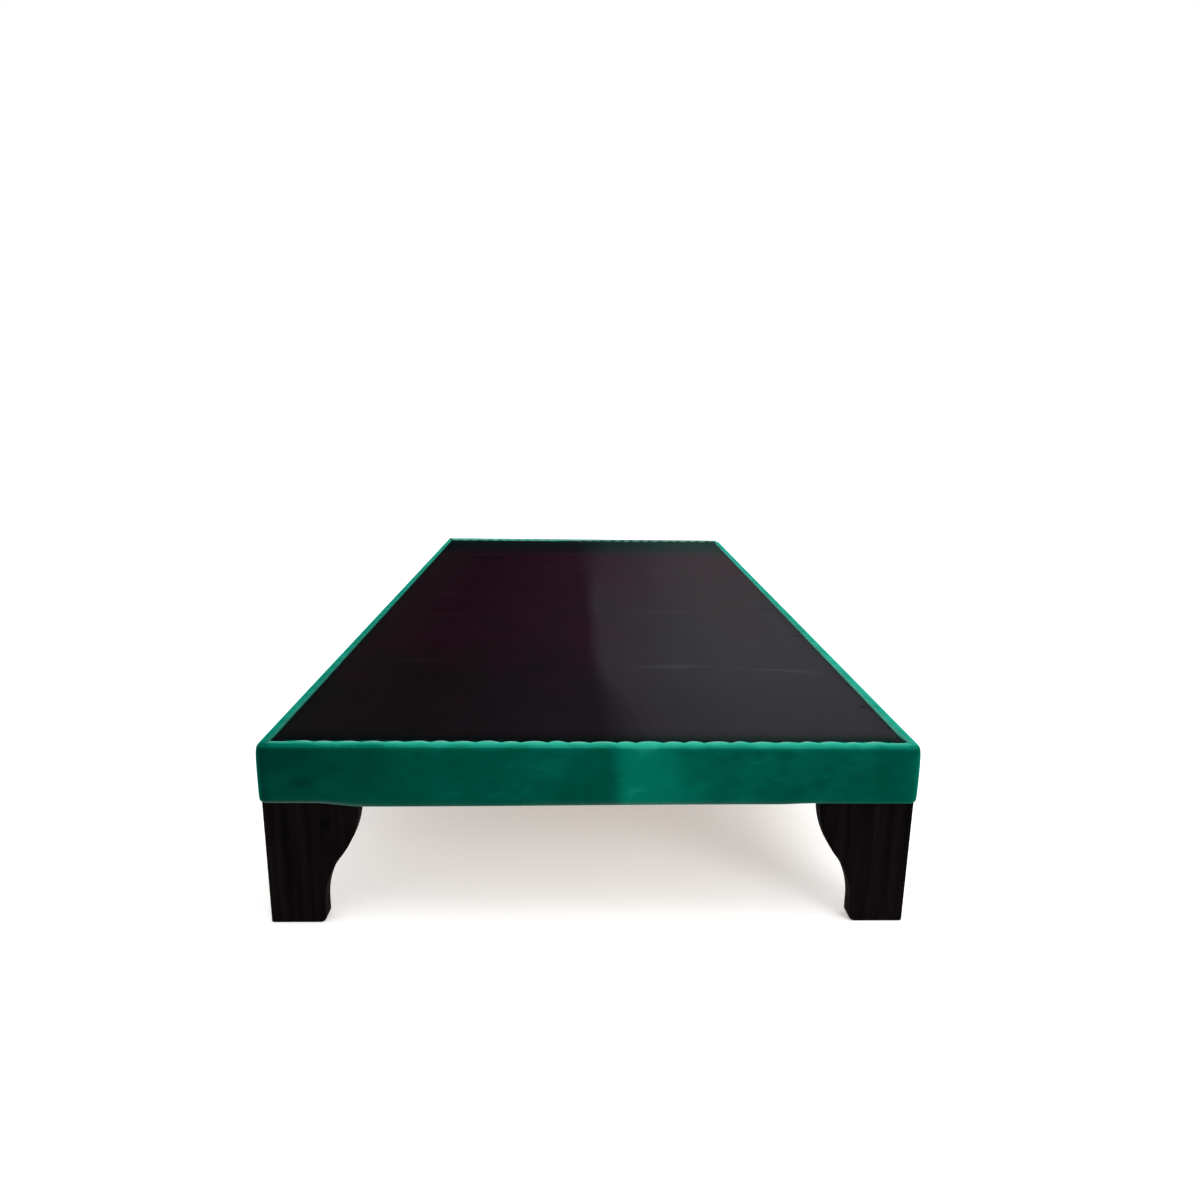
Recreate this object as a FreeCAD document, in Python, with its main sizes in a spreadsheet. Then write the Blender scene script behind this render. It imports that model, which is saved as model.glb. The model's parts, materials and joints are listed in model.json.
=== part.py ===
"""An upholstered single bed base: a pine frame with cross slats, wrapped round its rails in green velvet,
decked with stretched black cloth, and standing on four bracket-shaped feet and one centre leg.

The frame's origin is on the floor under the middle of the base. X runs across the width, -Y is the foot
end that faces the room, +Z is up. Millimetres.
"""
import FreeCAD
import Part
import Sketcher
import math
import os

Vector = FreeCAD.Vector
Rotation = FreeCAD.Rotation

doc = FreeCAD.newDocument("bed_base")
sheet = doc.addObject("Spreadsheet::Sheet", "Dims")

# Driving dimensions: alias, millimetres, what it is.
DIMENSIONS = [
    ("overall_width", 1000, "across the velvet"),
    ("overall_length", 1900, "along the velvet"),
    ("leg_height", 205, "floor to the velvet under the rails"),
    ("leg_thickness", 28, "planed board"),
    ("leg_top_width", 145, "board width, kept at the foot's shoulder"),
    ("leg_inset", 4, "foot set in from the velvet's face"),
    ("ankle_width", 85, "narrowest width of the foot"),
    ("ankle_height", 30, "height at which the ankle curve starts"),
    ("shoulder_radius", 150, "convex upper curve of the foot"),
    ("toe_radius", 10, "rounded inner toe"),
    ("heel_radius", 3, "outer edge under the foot"),
    ("leg_arris", 2, "rounding of the foot's edges"),
    ("rail_height", 86, "planed rail, on edge"),
    ("rail_thickness", 38, "planed rail"),
    ("rail_arris", 1.6, "rounding of the rails' outer edges"),
    ("rail_corner_radius", 6, "end rails' upright corners, sanded round for the velvet"),
    ("foam_thickness", 3.2, "compressed foam under the velvet"),
    ("velvet_thickness", 1.2, "pile and backing"),
    ("velvet_top_radius", 6, "padded top edge"),
    ("velvet_bottom_radius", 3, "padded bottom edge"),
    ("lip_cover", 42, "velvet turned over the rail's top"),
    ("turn_under", 34, "velvet turned under the rail"),
    ("front_lip", 20, "velvet showing on top, front and rear"),
    ("side_lip", 19, "velvet showing on top, sides"),
    ("cloth_thickness", 0.8, "black spun-bonded deck cloth, hem pressed flat"),
    ("slat_count", 10, ""),
    ("slat_width", 85, ""),
    ("slat_thickness", 18, ""),
    ("slat_gap", 1, "slack at each slat's ends and beside the end slats"),
    ("slat_arris", 2, "rounding of the slats' top edges"),
    ("ledger_width", 25, "cleat that carries the slats' ends"),
    ("ledger_height", 35, ""),
    ("beam_width", 38, "centre beam"),
    ("beam_height", 63, ""),
    ("block_width", 64, "corner block, across"),
    ("block_depth", 60, "corner block, lengthwise"),
    ("cleat_width", 110, "cleat glued behind each foot"),
    ("cleat_side", 45, "its height and depth"),
    ("cleat_inset", 8, "from the foot's outer edge"),
    ("post_side", 50, "centre leg"),
    ("post_chamfer", 4, ""),
    ("screw_shank", 5, ""),
    ("screw_head", 9.6, ""),
    ("screw_cone", 2.8, "depth of the countersunk head"),
    ("long_screw", 80, "corners, blocks and beam ends"),
    ("cleat_screw", 60, ""),
    ("ledger_screw", 50, ""),
    ("slat_screw", 40, ""),
    ("slat_screw_shank", 4, ""),
    ("slat_screw_head", 7.8, ""),
    ("bolt_shank", 8, "M8 leg bolt"),
    ("bolt_length", 70, "under its head"),
    ("bolt_flats", 13, ""),
    ("bolt_head", 5.3, ""),
    ("bolt_spacing", 32, ""),
    ("bolt_clearance_hole", 9, ""),
    ("washer_outer", 24, ""),
    ("washer_thickness", 1.6, ""),
    ("insert_outer", 12, "threaded insert"),
    ("insert_length", 25, ""),
    ("dowel_screw", 100, "centre leg to beam"),
    ("staple_crown", 11, ""),
    ("staple_leg", 9, ""),
    ("staple_wire", 0.65, "crown height"),
    ("staple_depth", 1, "wire width"),
    ("staple_inset", 5, "from the cloth's folded edge"),
    ("under_staple_inset", 28, "from the velvet's face, under the rails"),
]


def fill_sheet():
    for row, (alias, amount, note) in enumerate(DIMENSIONS, start=1):
        sheet.set(f"A{row}", alias.replace("_", " "))
        sheet.set(f"B{row}", str(amount))
        sheet.setAlias(f"B{row}", alias)
        sheet.set(f"C{row}", note)
    doc.recompute()


fill_sheet()


def size(expression):
    """The number that an expression in the sheet's aliases comes to."""
    return float(sheet.evalExpression(expression))


# Levels and places that several pieces share, as expressions in the sheet's cells.
WRAP = "(Dims.foam_thickness + Dims.velvet_thickness)"
RAIL_BOTTOM = "(Dims.leg_height + Dims.velvet_thickness)"
RAIL_TOP = f"({RAIL_BOTTOM} + Dims.rail_height)"
DECK = f"({RAIL_TOP} + {WRAP})"
SLAT_BOTTOM = f"({DECK} - Dims.slat_thickness)"
HALF_WIDTH = "(Dims.overall_width / 2)"
HALF_LENGTH = "(Dims.overall_length / 2)"
FRAME_X = f"({HALF_WIDTH} - {WRAP})"
FRAME_Y = f"({HALF_LENGTH} - {WRAP})"
INNER_X = f"({FRAME_X} - Dims.rail_thickness)"
INNER_Y = f"({FRAME_Y} - Dims.rail_thickness)"
SLAT_END_X = f"({INNER_X} - Dims.slat_gap)"
SLAT_FIRST_Y = f"({INNER_Y} - Dims.slat_gap - Dims.slat_width / 2)"
SLAT_PITCH = f"(2 * {SLAT_FIRST_Y} / (Dims.slat_count - 1))"
BEAM_BOTTOM = f"({SLAT_BOTTOM} - Dims.beam_height)"
BAND_HEIGHT = f"({DECK} - Dims.leg_height)"
FOAM_HEIGHT = "(Dims.rail_height + Dims.foam_thickness)"
BOLT_X = f"({INNER_X} - Dims.block_width / 2)"
BOLT_Y = f"({HALF_LENGTH} - Dims.leg_inset - Dims.leg_thickness - Dims.cleat_side / 2)"

NODES = []


def node(label, thing):
    """Marks a document object as a sub-part that is written to its own file."""
    thing.Label = label
    NODES.append(thing)
    return thing


def new_body(label):
    return doc.addObject("PartDesign::Body", label)


def new_sketch(body, name, plane):
    sketch = body.newObject("Sketcher::SketchObject", f"{body.Name}_{name}")
    origin_plane = next(f for f in body.Origin.OriginFeatures if f.Role == plane)
    sketch.AttachmentSupport = [(origin_plane, "")]
    sketch.MapMode = "FlatFace"
    return sketch


def pin_point(sketch, geometry, point, x, y):
    """Holds a sketch point at (x, y), two expressions; one that comes to zero puts it on the axis."""
    for kind, expression, axis in (("DistanceX", x, -2), ("DistanceY", y, -1)):
        amount = size(expression)
        if abs(amount) < 1e-9:
            sketch.addConstraint(Sketcher.Constraint("PointOnObject", geometry, point, axis))
        else:
            rule = Sketcher.Constraint(kind, -1, 1, geometry, point, amount)
            sketch.setExpression(f"Constraints[{sketch.addConstraint(rule)}]", expression)


def polygon(sketch, corners):
    """Closes a polygon through corners, each a pair of expressions."""
    first = sketch.GeometryCount
    points = [Vector(size(x), size(y), 0) for x, y in corners]
    for here, there in zip(points, points[1:] + points[:1]):
        sketch.addGeometry(Part.LineSegment(here, there), False)
    for i in range(len(corners)):
        following = first + (i + 1) % len(corners)
        sketch.addConstraint(Sketcher.Constraint("Coincident", first + i, 2, following, 1))
    for i, (x, y) in enumerate(corners):
        pin_point(sketch, first + i, 1, x, y)
    return sketch


def rectangle(sketch, x, y):
    return polygon(sketch, [("0", "0"), (x, "0"), (x, y), ("0", y)])


def circle(sketch, x, y, diameter):
    centre = Vector(size(x), size(y), 0)
    index = sketch.addGeometry(Part.Circle(centre, Vector(0, 0, 1), size(diameter) / 2), False)
    pin_point(sketch, index, 3, x, y)
    rule = Sketcher.Constraint("Diameter", index, size(diameter))
    sketch.setExpression(f"Constraints[{sketch.addConstraint(rule)}]", diameter)


def feature(body, kind, name, sketch, length=None, flip=False):
    """A PartDesign feature on a sketch: a Pad or Pocket of that length, or a Pocket through everything."""
    made = body.newObject(f"PartDesign::{kind}", f"{body.Name}_{name}")
    made.Profile = sketch
    made.Reversed = flip
    if length is None:
        made.Type = "ThroughAll"
    else:
        made.setExpression("Length", length)
    sketch.Visibility = False
    doc.recompute()
    return made


def round_edges(body, name, radius, wanted, kind="Fillet"):
    """Rounds or chamfers the edges of the body's tip for which wanted(edge) is true."""
    base = body.Tip
    names = [f"Edge{i}" for i, edge in enumerate(base.Shape.Edges, start=1) if wanted(edge)]
    if not names:
        raise RuntimeError(f"{body.Name} has no edge for {name}")
    made = body.newObject(f"PartDesign::{kind}", f"{body.Name}_{name}")
    made.Base = (base, names)
    made.setExpression("Radius" if kind == "Fillet" else "Size", radius)
    doc.recompute()
    return made


def edge_at(direction, **place):
    """Tests for a straight edge along a direction whose middle has the given coordinates."""
    def test(edge):
        ends = edge.Vertexes[-1].Point - edge.Vertexes[0].Point
        if ends.Length < 1e-6 or abs(abs(ends.dot(direction)) - ends.Length) > 1e-6:
            return False
        middle = edge.BoundBox.Center
        return all(abs(getattr(middle, axis) - at) < 0.01 for axis, at in place.items())
    return test


def place(thing, x="0", y="0", z="0"):
    for axis, expression in zip("xyz", (x, y, z)):
        thing.setExpression(f"Placement.Base.{axis}", expression)
    doc.recompute()
    return thing


def mirrored(label, source, normal):
    made = doc.addObject("Part::Mirroring", label)
    made.Source = source
    made.Normal = normal
    doc.recompute()
    return made


def mirrored_corners(name, front_left):
    """The other three corners' copies of a front left piece."""
    front_right = node(f"{name}_front_right", mirrored(f"{name}_front_right", front_left, Vector(1, 0, 0)))
    for side, source in (("left", front_left), ("right", front_right)):
        label = f"{name}_rear_{side}"
        node(label, mirrored(label, source, Vector(0, 1, 0)))


def bored(label, blank, *groups):
    """The blank with room for the fasteners of those groups."""
    tool = doc.addObject("Part::Compound", f"{label}_fasteners")
    tool.Links = list(groups)
    made = doc.addObject("Part::Cut", label)
    made.Base = blank
    made.Tool = tool
    doc.recompute()
    return node(label, made)


def group(label, shape, placements):
    """Copies of one fastener as separate solids."""
    made = doc.addObject("Part::Feature", label)
    copies = []
    for placement in placements:
        copy = shape.copy()
        copy.Placement = placement.multiply(shape.Placement)
        copies.append(copy)
    made.Shape = Part.makeCompound(copies)
    return made


def aimed(x, y, z, direction):
    """A placement that turns +Z to direction at a point."""
    return FreeCAD.Placement(Vector(x, y, z), Rotation(Vector(0, 0, 1), direction))


def both_signs(points):
    """Each (x, y, z, direction) at all four corners of the base."""
    found = []
    for x, y, z, way in points:
        for sx in (1, -1):
            for sy in (1, -1):
                found.append(aimed(x * sx, y * sy, z, Vector(way.x * sx, way.y * sy, way.z)))
    return found


# ---- Fasteners -------------------------------------------------------------------------------------


def countersunk_screw(label, shank, head, length):
    """A screw along +Z with its head's face at 0: returns its recessed shape and its plain envelope."""
    body = new_body(label)
    profile = new_sketch(body, "profile", "XZ_Plane")
    tip_start = f"({length} - 1.6 * {shank})"
    polygon(profile, [("0", "0"), (f"{head} / 2", "0"), (f"{shank} / 2", "Dims.screw_cone"),
                      (f"{shank} / 2", tip_start), ("0", length)])
    turned = body.newObject("PartDesign::Revolution", f"{label}_turned")
    turned.Profile = profile
    turned.ReferenceAxis = (profile, ["V_Axis"])
    turned.Angle = 360
    doc.recompute()
    envelope = turned.Shape.copy()
    recess = new_sketch(body, "recess", "XY_Plane")
    arm, half = f"({head} * 0.30)", f"({head} * 0.07)"
    polygon(recess, [(arm, f"-{half}"), (arm, half), (half, half), (half, arm), (f"-{half}", arm),
                     (f"-{half}", half), (f"-{arm}", half), (f"-{arm}", f"-{half}"),
                     (f"-{half}", f"-{half}"), (f"-{half}", f"-{arm}"), (half, f"-{arm}"),
                     (half, f"-{half}")])
    feature(body, "Pocket", "cross", recess, "1.6", flip=True)
    return body.Shape.copy(), envelope


def hex_bolt(label):
    """A hexagon-head bolt along +Z, its head below 0."""
    body = new_body(label)
    corner = size("Dims.bolt_flats") / math.sqrt(3)
    hexagon = [(corner * math.cos(math.radians(60 * i)), corner * math.sin(math.radians(60 * i)))
               for i in range(6)]
    head = new_sketch(body, "head", "XY_Plane")
    reach = "Dims.bolt_flats / sqrt(3)"
    polygon(head, [(f"{x / corner:.9f} * {reach}", f"{y / corner:.9f} * {reach}") for x, y in hexagon])
    feature(body, "Pad", "hexagon", head, "Dims.bolt_head", flip=True)
    shank = new_sketch(body, "shank", "XY_Plane")
    circle(shank, "0", "0", "Dims.bolt_shank")
    feature(body, "Pad", "shaft", shank, "Dims.bolt_length")
    end = size("Dims.bolt_length")
    round_edges(body, "tip", "1", lambda edge: abs(edge.BoundBox.ZMin - end) < 0.01, "Chamfer")
    return body.Shape.copy()


def ring(label, outer, inner, length):
    """A plain ring along +Z."""
    body = new_body(label)
    outline = new_sketch(body, "outline", "XY_Plane")
    circle(outline, "0", "0", outer)
    circle(outline, "0", "0", inner)
    feature(body, "Pad", "ring", outline, length)
    return body.Shape.copy()


def rod(label, diameter, length, chamfer):
    """A round rod along +Z with chamfered ends."""
    body = new_body(label)
    outline = new_sketch(body, "outline", "XY_Plane")
    circle(outline, "0", "0", diameter)
    feature(body, "Pad", "rod", outline, length)
    round_edges(body, "ends", chamfer, lambda edge: edge.BoundBox.ZLength < 0.01, "Chamfer")
    return body.Shape.copy()


def staple(label):
    """A staple pointing along +Z, its crown along X with its outer face at 0."""
    body = new_body(label)
    outline = new_sketch(body, "outline", "XZ_Plane")
    half, wire, reach = "Dims.staple_crown / 2", "Dims.staple_wire", "(Dims.staple_wire + Dims.staple_leg)"
    inner = f"({half} - {wire})"
    polygon(outline, [(f"-{half}", "0"), (half, "0"), (half, reach), (inner, reach), (inner, wire),
                      (f"-{inner}", wire), (f"-{inner}", reach), (f"-{half}", reach)])
    made = feature(body, "Pad", "wire", outline, "Dims.staple_depth")
    made.SideType = "Symmetric"
    doc.recompute()
    return body.Shape.copy()


LONG_SCREW, LONG_BORE = countersunk_screw(
    "long_screw_pattern", "Dims.screw_shank", "Dims.screw_head", "Dims.long_screw")
CLEAT_SCREW, CLEAT_BORE = countersunk_screw(
    "cleat_screw_pattern", "Dims.screw_shank", "Dims.screw_head", "Dims.cleat_screw")
LEDGER_SCREW, LEDGER_BORE = countersunk_screw(
    "ledger_screw_pattern", "Dims.screw_shank", "Dims.screw_head", "Dims.ledger_screw")
SLAT_SCREW, SLAT_BORE = countersunk_screw(
    "slat_screw_pattern", "Dims.slat_screw_shank", "Dims.slat_screw_head", "Dims.slat_screw")
STAPLE = staple("staple_pattern")


def slat_centres():
    first, pitch = size(SLAT_FIRST_Y), size(SLAT_PITCH)
    return [-first + pitch * i for i in range(int(size("Dims.slat_count")))]


def rail_screw_places():
    """Three screws in each corner, through the end rail into the side rail's end."""
    x = size(FRAME_X) - size("Dims.rail_thickness") * 0.45
    bottom, height = size(RAIL_BOTTOM), size("Dims.rail_height")
    inward = Vector(0, 1, 0)
    return both_signs([(-x, -size(FRAME_Y), bottom + height * share, inward) for share in (0.2, 0.45, 0.75)])


def block_screw_places():
    """Two screws from each block into the end rail and two into the side rail, at three levels."""
    bottom, top = size("Dims.leg_height"), size(SLAT_BOTTOM)
    middle = (bottom + top) / 2 + 10
    spread = 14
    block_x = size(INNER_X) - size("Dims.block_width")
    block_y = size(INNER_Y) - size("Dims.block_depth")
    into_end, into_side = Vector(0, -1, 0), Vector(-1, 0, 0)
    points = [(-size(BOLT_X), -block_y, middle + lift, into_end) for lift in (-spread, spread)]
    points += [(-block_x, -block_y - share * size("Dims.block_depth"), middle, into_side)
               for share in (0.25, 0.75)]
    return both_signs(points)


def beam_screw_places():
    middle = size(BEAM_BOTTOM) + size("Dims.beam_height") / 2
    return [aimed(0, sign * size(FRAME_Y), middle + lift, Vector(0, -sign, 0))
            for sign in (-1, 1) for lift in (-19, 1)]


def ledger_screw_places():
    x = size(INNER_X) - size("Dims.ledger_width")
    z = size(SLAT_BOTTOM) - size("Dims.ledger_height") / 2
    centres = slat_centres()
    gaps = [(here + there) / 2 for here, there in zip(centres, centres[1:])]
    return [aimed(sign * x, y, z, Vector(sign, 0, 0)) for sign in (-1, 1) for y in gaps[::2]]


def slat_screw_places():
    x = size(INNER_X) - size("Dims.ledger_width") / 2
    offset = 0.3 * size("Dims.slat_width")
    down = Vector(0, 0, -1)
    return [aimed(column, centre + side * offset, size(DECK), down)
            for centre in slat_centres() for column in (-x, 0, x) for side in (-1, 1)]


def cleat_screw_places():
    y = size(HALF_LENGTH) - size("Dims.leg_inset") - size("Dims.leg_thickness") - size("Dims.cleat_side")
    z = size("Dims.leg_height") - size("Dims.cleat_side") / 2
    towards_foot = Vector(0, -1, 0)
    gap = size("Dims.bolt_spacing")
    return both_signs([(-x, -y, z, towards_foot) for x in (size(BOLT_X), size(BOLT_X) + gap)])


def bolt_places(z):
    half = size("Dims.bolt_spacing") / 2
    up = Vector(0, 0, 1)
    return both_signs([(size(BOLT_X) + side * half, size(BOLT_Y), z, up) for side in (-1, 1)])


def staple_row(start, end, spacing, wander):
    """Places along an edge, driven by hand: the spacing wanders a little."""
    count = round((end - start) / spacing)
    step = (end - start) / count
    return [start + step * i + wander * math.sin(2.4 * i + 0.7 * math.sin(1.3 * i)) for i in range(count + 1)]


def staple_places(z, inset_x, inset_y, spacing, way):
    """Staples round the base at height z, inset from the velvet's faces, the rear and right mirrored."""
    x_edge = size(HALF_WIDTH) - inset_x
    y_edge = size(HALF_LENGTH) - inset_y
    flip = Rotation(Vector(1, 0, 0), 180) if way < 0 else Rotation()
    quarter = Rotation(Vector(0, 0, 1), 90)
    places = []
    for x in staple_row(-x_edge + 10, x_edge - 10, spacing, 3.5):
        for sign in (-1, 1):
            places.append(FreeCAD.Placement(Vector(x, sign * y_edge, z), flip))
    for y in staple_row(-y_edge + 14, y_edge - 14, spacing * 1.12, 4):
        for sign in (-1, 1):
            places.append(FreeCAD.Placement(Vector(sign * x_edge, y, z), quarter.multiply(flip)))
    return places


def make_fasteners():
    """Every group of fasteners as a node, and the plain envelopes that bore the wood for the screws."""
    groups = {}
    for label, screw, bore, places in (
            ("rail_screws", LONG_SCREW, LONG_BORE, rail_screw_places()),
            ("block_screws", LONG_SCREW, LONG_BORE, block_screw_places()),
            ("beam_screws", LONG_SCREW, LONG_BORE, beam_screw_places()),
            ("ledger_screws", LEDGER_SCREW, LEDGER_BORE, ledger_screw_places()),
            ("slat_screws", SLAT_SCREW, SLAT_BORE, slat_screw_places()),
            ("cleat_screws", CLEAT_SCREW, CLEAT_BORE, cleat_screw_places())):
        node(label, group(label, screw, places))
        groups[label] = group(f"{label}_bores", bore, places)
    cleat_bottom = size("Dims.leg_height") - size("Dims.cleat_side")
    bolt_seat = cleat_bottom - size("Dims.washer_thickness")
    bolt = hex_bolt("bolt_pattern")
    washer = ring("washer_pattern", "Dims.washer_outer", "Dims.bolt_clearance_hole", "Dims.washer_thickness")
    insert = ring("insert_pattern", "Dims.insert_outer", "Dims.bolt_shank", "Dims.insert_length")
    node("leg_bolts", group("leg_bolts", bolt, bolt_places(bolt_seat)))
    node("leg_bolt_washers", group("leg_bolt_washers", washer, bolt_places(bolt_seat)))
    node("threaded_inserts", group("threaded_inserts", insert, bolt_places(size("Dims.leg_height"))))
    dowel = rod("dowel_screw_pattern", "Dims.bolt_shank", "Dims.dowel_screw", "1.5")
    dowel_place = [aimed(0, 0, size(BEAM_BOTTOM) - size("Dims.dowel_screw") / 2, Vector(0, 0, 1))]
    label = "centre_leg_dowel_screw"
    groups["dowel_screw"] = node(label, group(label, dowel, dowel_place))
    cloth_inset = size("Dims.staple_inset")
    groups["top_staples"] = node("top_staples", group("top_staples", STAPLE, staple_places(
        size(DECK) + size("Dims.cloth_thickness"), size("Dims.side_lip") + cloth_inset,
        size("Dims.front_lip") + cloth_inset, 36, -1)))
    under = size("Dims.under_staple_inset")
    groups["underside_staples"] = node("underside_staples", group(
        "underside_staples", STAPLE, staple_places(size("Dims.leg_height"), under, under, 52, 1)))
    return groups


# ---- Pine frame ------------------------------------------------------------------------------------


def make_rails(groups):
    staples = [groups["top_staples"], groups["underside_staples"]]
    across, along = Vector(1, 0, 0), Vector(0, 1, 0)
    front = new_body("front_rail_blank")
    width = f"(2 * {FRAME_X})"
    face = rectangle(new_sketch(front, "face", "XZ_Plane"), width, "Dims.rail_height")
    feature(front, "Pad", "board", face, "Dims.rail_thickness", flip=True)
    round_edges(front, "corners", "Dims.rail_corner_radius", lambda edge: any(
        edge_at(Vector(0, 0, 1), x=x, y=0)(edge) for x in (0, size(width))))
    outer_edges = [edge_at(across, y=0), edge_at(along, x=0), edge_at(along, x=size(width))]
    round_edges(front, "arris", "Dims.rail_arris", lambda edge: any(test(edge) for test in outer_edges))
    place(front, f"-{FRAME_X}", f"-{FRAME_Y}", RAIL_BOTTOM)
    screws = [groups[name] for name in ("rail_screws", "block_screws", "beam_screws")]
    bored("front_rail", front, *screws, *staples)
    bored("rear_rail", mirrored("rear_rail_blank", front, along), *screws, *staples)

    side = new_body("left_side_rail_blank")
    length = f"(2 * {INNER_Y})"
    feature(side, "Pad", "board", rectangle(new_sketch(side, "face", "YZ_Plane"), length, "Dims.rail_height"),
            "Dims.rail_thickness")
    round_edges(side, "arris", "Dims.rail_arris", edge_at(along, x=0))
    place(side, f"-{FRAME_X}", f"-{INNER_Y}", RAIL_BOTTOM)
    screws = [groups[name] for name in ("rail_screws", "block_screws", "ledger_screws")]
    bored("left_side_rail", side, *screws, *staples)
    bored("right_side_rail", mirrored("right_side_rail_blank", side, across), *screws, *staples)


def make_ledgers(groups):
    ledger = new_body("ledger_blank")
    half = f"({INNER_Y} - Dims.block_depth - Dims.slat_gap)"
    outline = rectangle(new_sketch(ledger, "section", "XZ_Plane"), "Dims.ledger_width", "Dims.ledger_height")
    feature(ledger, "Pad", "batten", outline, f"(2 * {half})", flip=True)
    place(ledger, f"-{INNER_X}", f"-{half}", f"({SLAT_BOTTOM} - Dims.ledger_height)")
    left = bored("left_slat_ledger", ledger, groups["ledger_screws"], groups["slat_screws"])
    node("right_slat_ledger", mirrored("right_slat_ledger", left, Vector(1, 0, 0)))


def make_corner_blocks(groups):
    block = new_body("corner_block_blank")
    height = f"({SLAT_BOTTOM} - Dims.leg_height)"
    feature(block, "Pad", "block",
            rectangle(new_sketch(block, "plan", "XY_Plane"), "Dims.block_width", "Dims.block_depth"), height)
    seats = new_sketch(block, "insert_seats", "XY_Plane")
    seat_y = f"({INNER_Y} - {BOLT_Y})"
    for side in ("-", "+"):
        circle(seats, f"(Dims.block_width / 2 {side} Dims.bolt_spacing / 2)", seat_y, "Dims.insert_outer")
    feature(block, "Pocket", "seats", seats, "Dims.insert_length", flip=True)
    pilots = new_sketch(block, "bolt_pilots", "XY_Plane")
    for side in ("-", "+"):
        circle(pilots, f"(Dims.block_width / 2 {side} Dims.bolt_spacing / 2)", seat_y, "Dims.bolt_shank")
    feature(block, "Pocket", "pilots", pilots, "(Dims.insert_length + 3)", flip=True)
    place(block, f"-{INNER_X}", f"-{INNER_Y}", "Dims.leg_height")
    front_left = bored("corner_block_front_left", block, groups["block_screws"], groups["slat_screws"])
    mirrored_corners("corner_block", front_left)


def make_beam(groups):
    beam = new_body("centre_beam_blank")
    outline = rectangle(new_sketch(beam, "section", "XZ_Plane"), "Dims.beam_width", "Dims.beam_height")
    feature(beam, "Pad", "batten", outline, f"(2 * {INNER_Y})", flip=True)
    place(beam, "-Dims.beam_width / 2", f"-{INNER_Y}", BEAM_BOTTOM)
    bored("centre_beam", beam, groups["beam_screws"], groups["slat_screws"], groups["dowel_screw"])


def make_slats(groups):
    length = f"(2 * {SLAT_END_X})"
    for i in range(int(size("Dims.slat_count"))):
        label = f"slat_{i + 1:02d}"
        slat = new_body(f"{label}_blank")
        outline = rectangle(new_sketch(slat, "section", "YZ_Plane"), "Dims.slat_width", "Dims.slat_thickness")
        feature(slat, "Pad", "board", outline, length)
        top = size("Dims.slat_thickness")
        round_edges(slat, "arris", "Dims.slat_arris", edge_at(Vector(1, 0, 0), z=top))
        near_edge = f"(-{SLAT_FIRST_Y} + {i} * {SLAT_PITCH} - Dims.slat_width / 2)"
        place(slat, f"-{SLAT_END_X}", near_edge, SLAT_BOTTOM)
        bored(label, slat, groups["slat_screws"])


# ---- Feet ------------------------------------------------------------------------------------------


def foot_profile(body):
    """The foot's outline: straight outside, an S curve inside that swells to the shoulder."""
    height, top, ankle = size("Dims.leg_height"), size("Dims.leg_top_width"), size("Dims.ankle_width")
    rise, shoulder, toe = size("Dims.ankle_height"), size("Dims.shoulder_radius"), size("Dims.toe_radius")
    fall = height - rise
    reach = top - ankle
    hollow = (fall ** 2 + reach ** 2) / (2 * reach) - shoulder
    turn = math.asin(fall / (shoulder + hollow))
    upper = Vector(top - shoulder, height, 0)
    lower = Vector(ankle + hollow, rise, 0)
    sketch = new_sketch(body, "profile", "XZ_Plane")
    up = Vector(0, 0, 1)
    quarter = math.pi / 2
    bend = upper + Vector(math.cos(turn), -math.sin(turn), 0) * shoulder
    sketch.addGeometry([
        Part.LineSegment(Vector(0, 0, 0), Vector(ankle - toe, 0, 0)),
        Part.ArcOfCircle(Part.Circle(Vector(ankle - toe, toe, 0), up, toe), -quarter, 0),
        Part.LineSegment(Vector(ankle, toe, 0), Vector(ankle, rise, 0)),
        Part.ArcOfCircle(Part.Circle(lower, up, hollow), math.pi - turn, math.pi),
        Part.ArcOfCircle(Part.Circle(upper, up, shoulder), -turn, 0),
        Part.LineSegment(Vector(top, height, 0), Vector(0, height, 0)),
        Part.LineSegment(Vector(0, height, 0), Vector(0, 0, 0)),
    ], False)
    smooth = [(0, 2, 1, 1), (1, 2, 2, 1), (2, 2, 3, 2), (3, 1, 4, 1)]
    joints = smooth + [(4, 2, 5, 1), (5, 2, 6, 1), (6, 2, 0, 1)]
    for joint in joints:
        sketch.addConstraint(Sketcher.Constraint("Tangent" if joint in smooth else "Coincident", *joint))
    sketch.addConstraint(Sketcher.Constraint("Coincident", 6, 2, -1, 1))
    sketch.addConstraint([Sketcher.Constraint("Horizontal", 0), Sketcher.Constraint("Vertical", 2),
                          Sketcher.Constraint("Horizontal", 5), Sketcher.Constraint("Vertical", 6)])
    for rule, expression in (
            (Sketcher.Constraint("DistanceX", -1, 1, 2, 1, ankle), "Dims.ankle_width"),
            (Sketcher.Constraint("DistanceY", -1, 1, 2, 2, rise), "Dims.ankle_height"),
            (Sketcher.Constraint("DistanceX", -1, 1, 5, 1, top), "Dims.leg_top_width"),
            (Sketcher.Constraint("DistanceY", -1, 1, 5, 1, height), "Dims.leg_height"),
            (Sketcher.Constraint("Radius", 1, toe), "Dims.toe_radius"),
            (Sketcher.Constraint("Radius", 4, shoulder), "Dims.shoulder_radius")):
        sketch.setExpression(f"Constraints[{sketch.addConstraint(rule)}]", expression)
    sketch.addConstraint(Sketcher.Constraint("DistanceY", 4, 3, 5, 1, 0))
    doc.recompute()
    if (bend - sketch.getPoint(4, 1)).Length > 0.01:
        raise RuntimeError("the foot's curve has moved")
    return sketch


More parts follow.
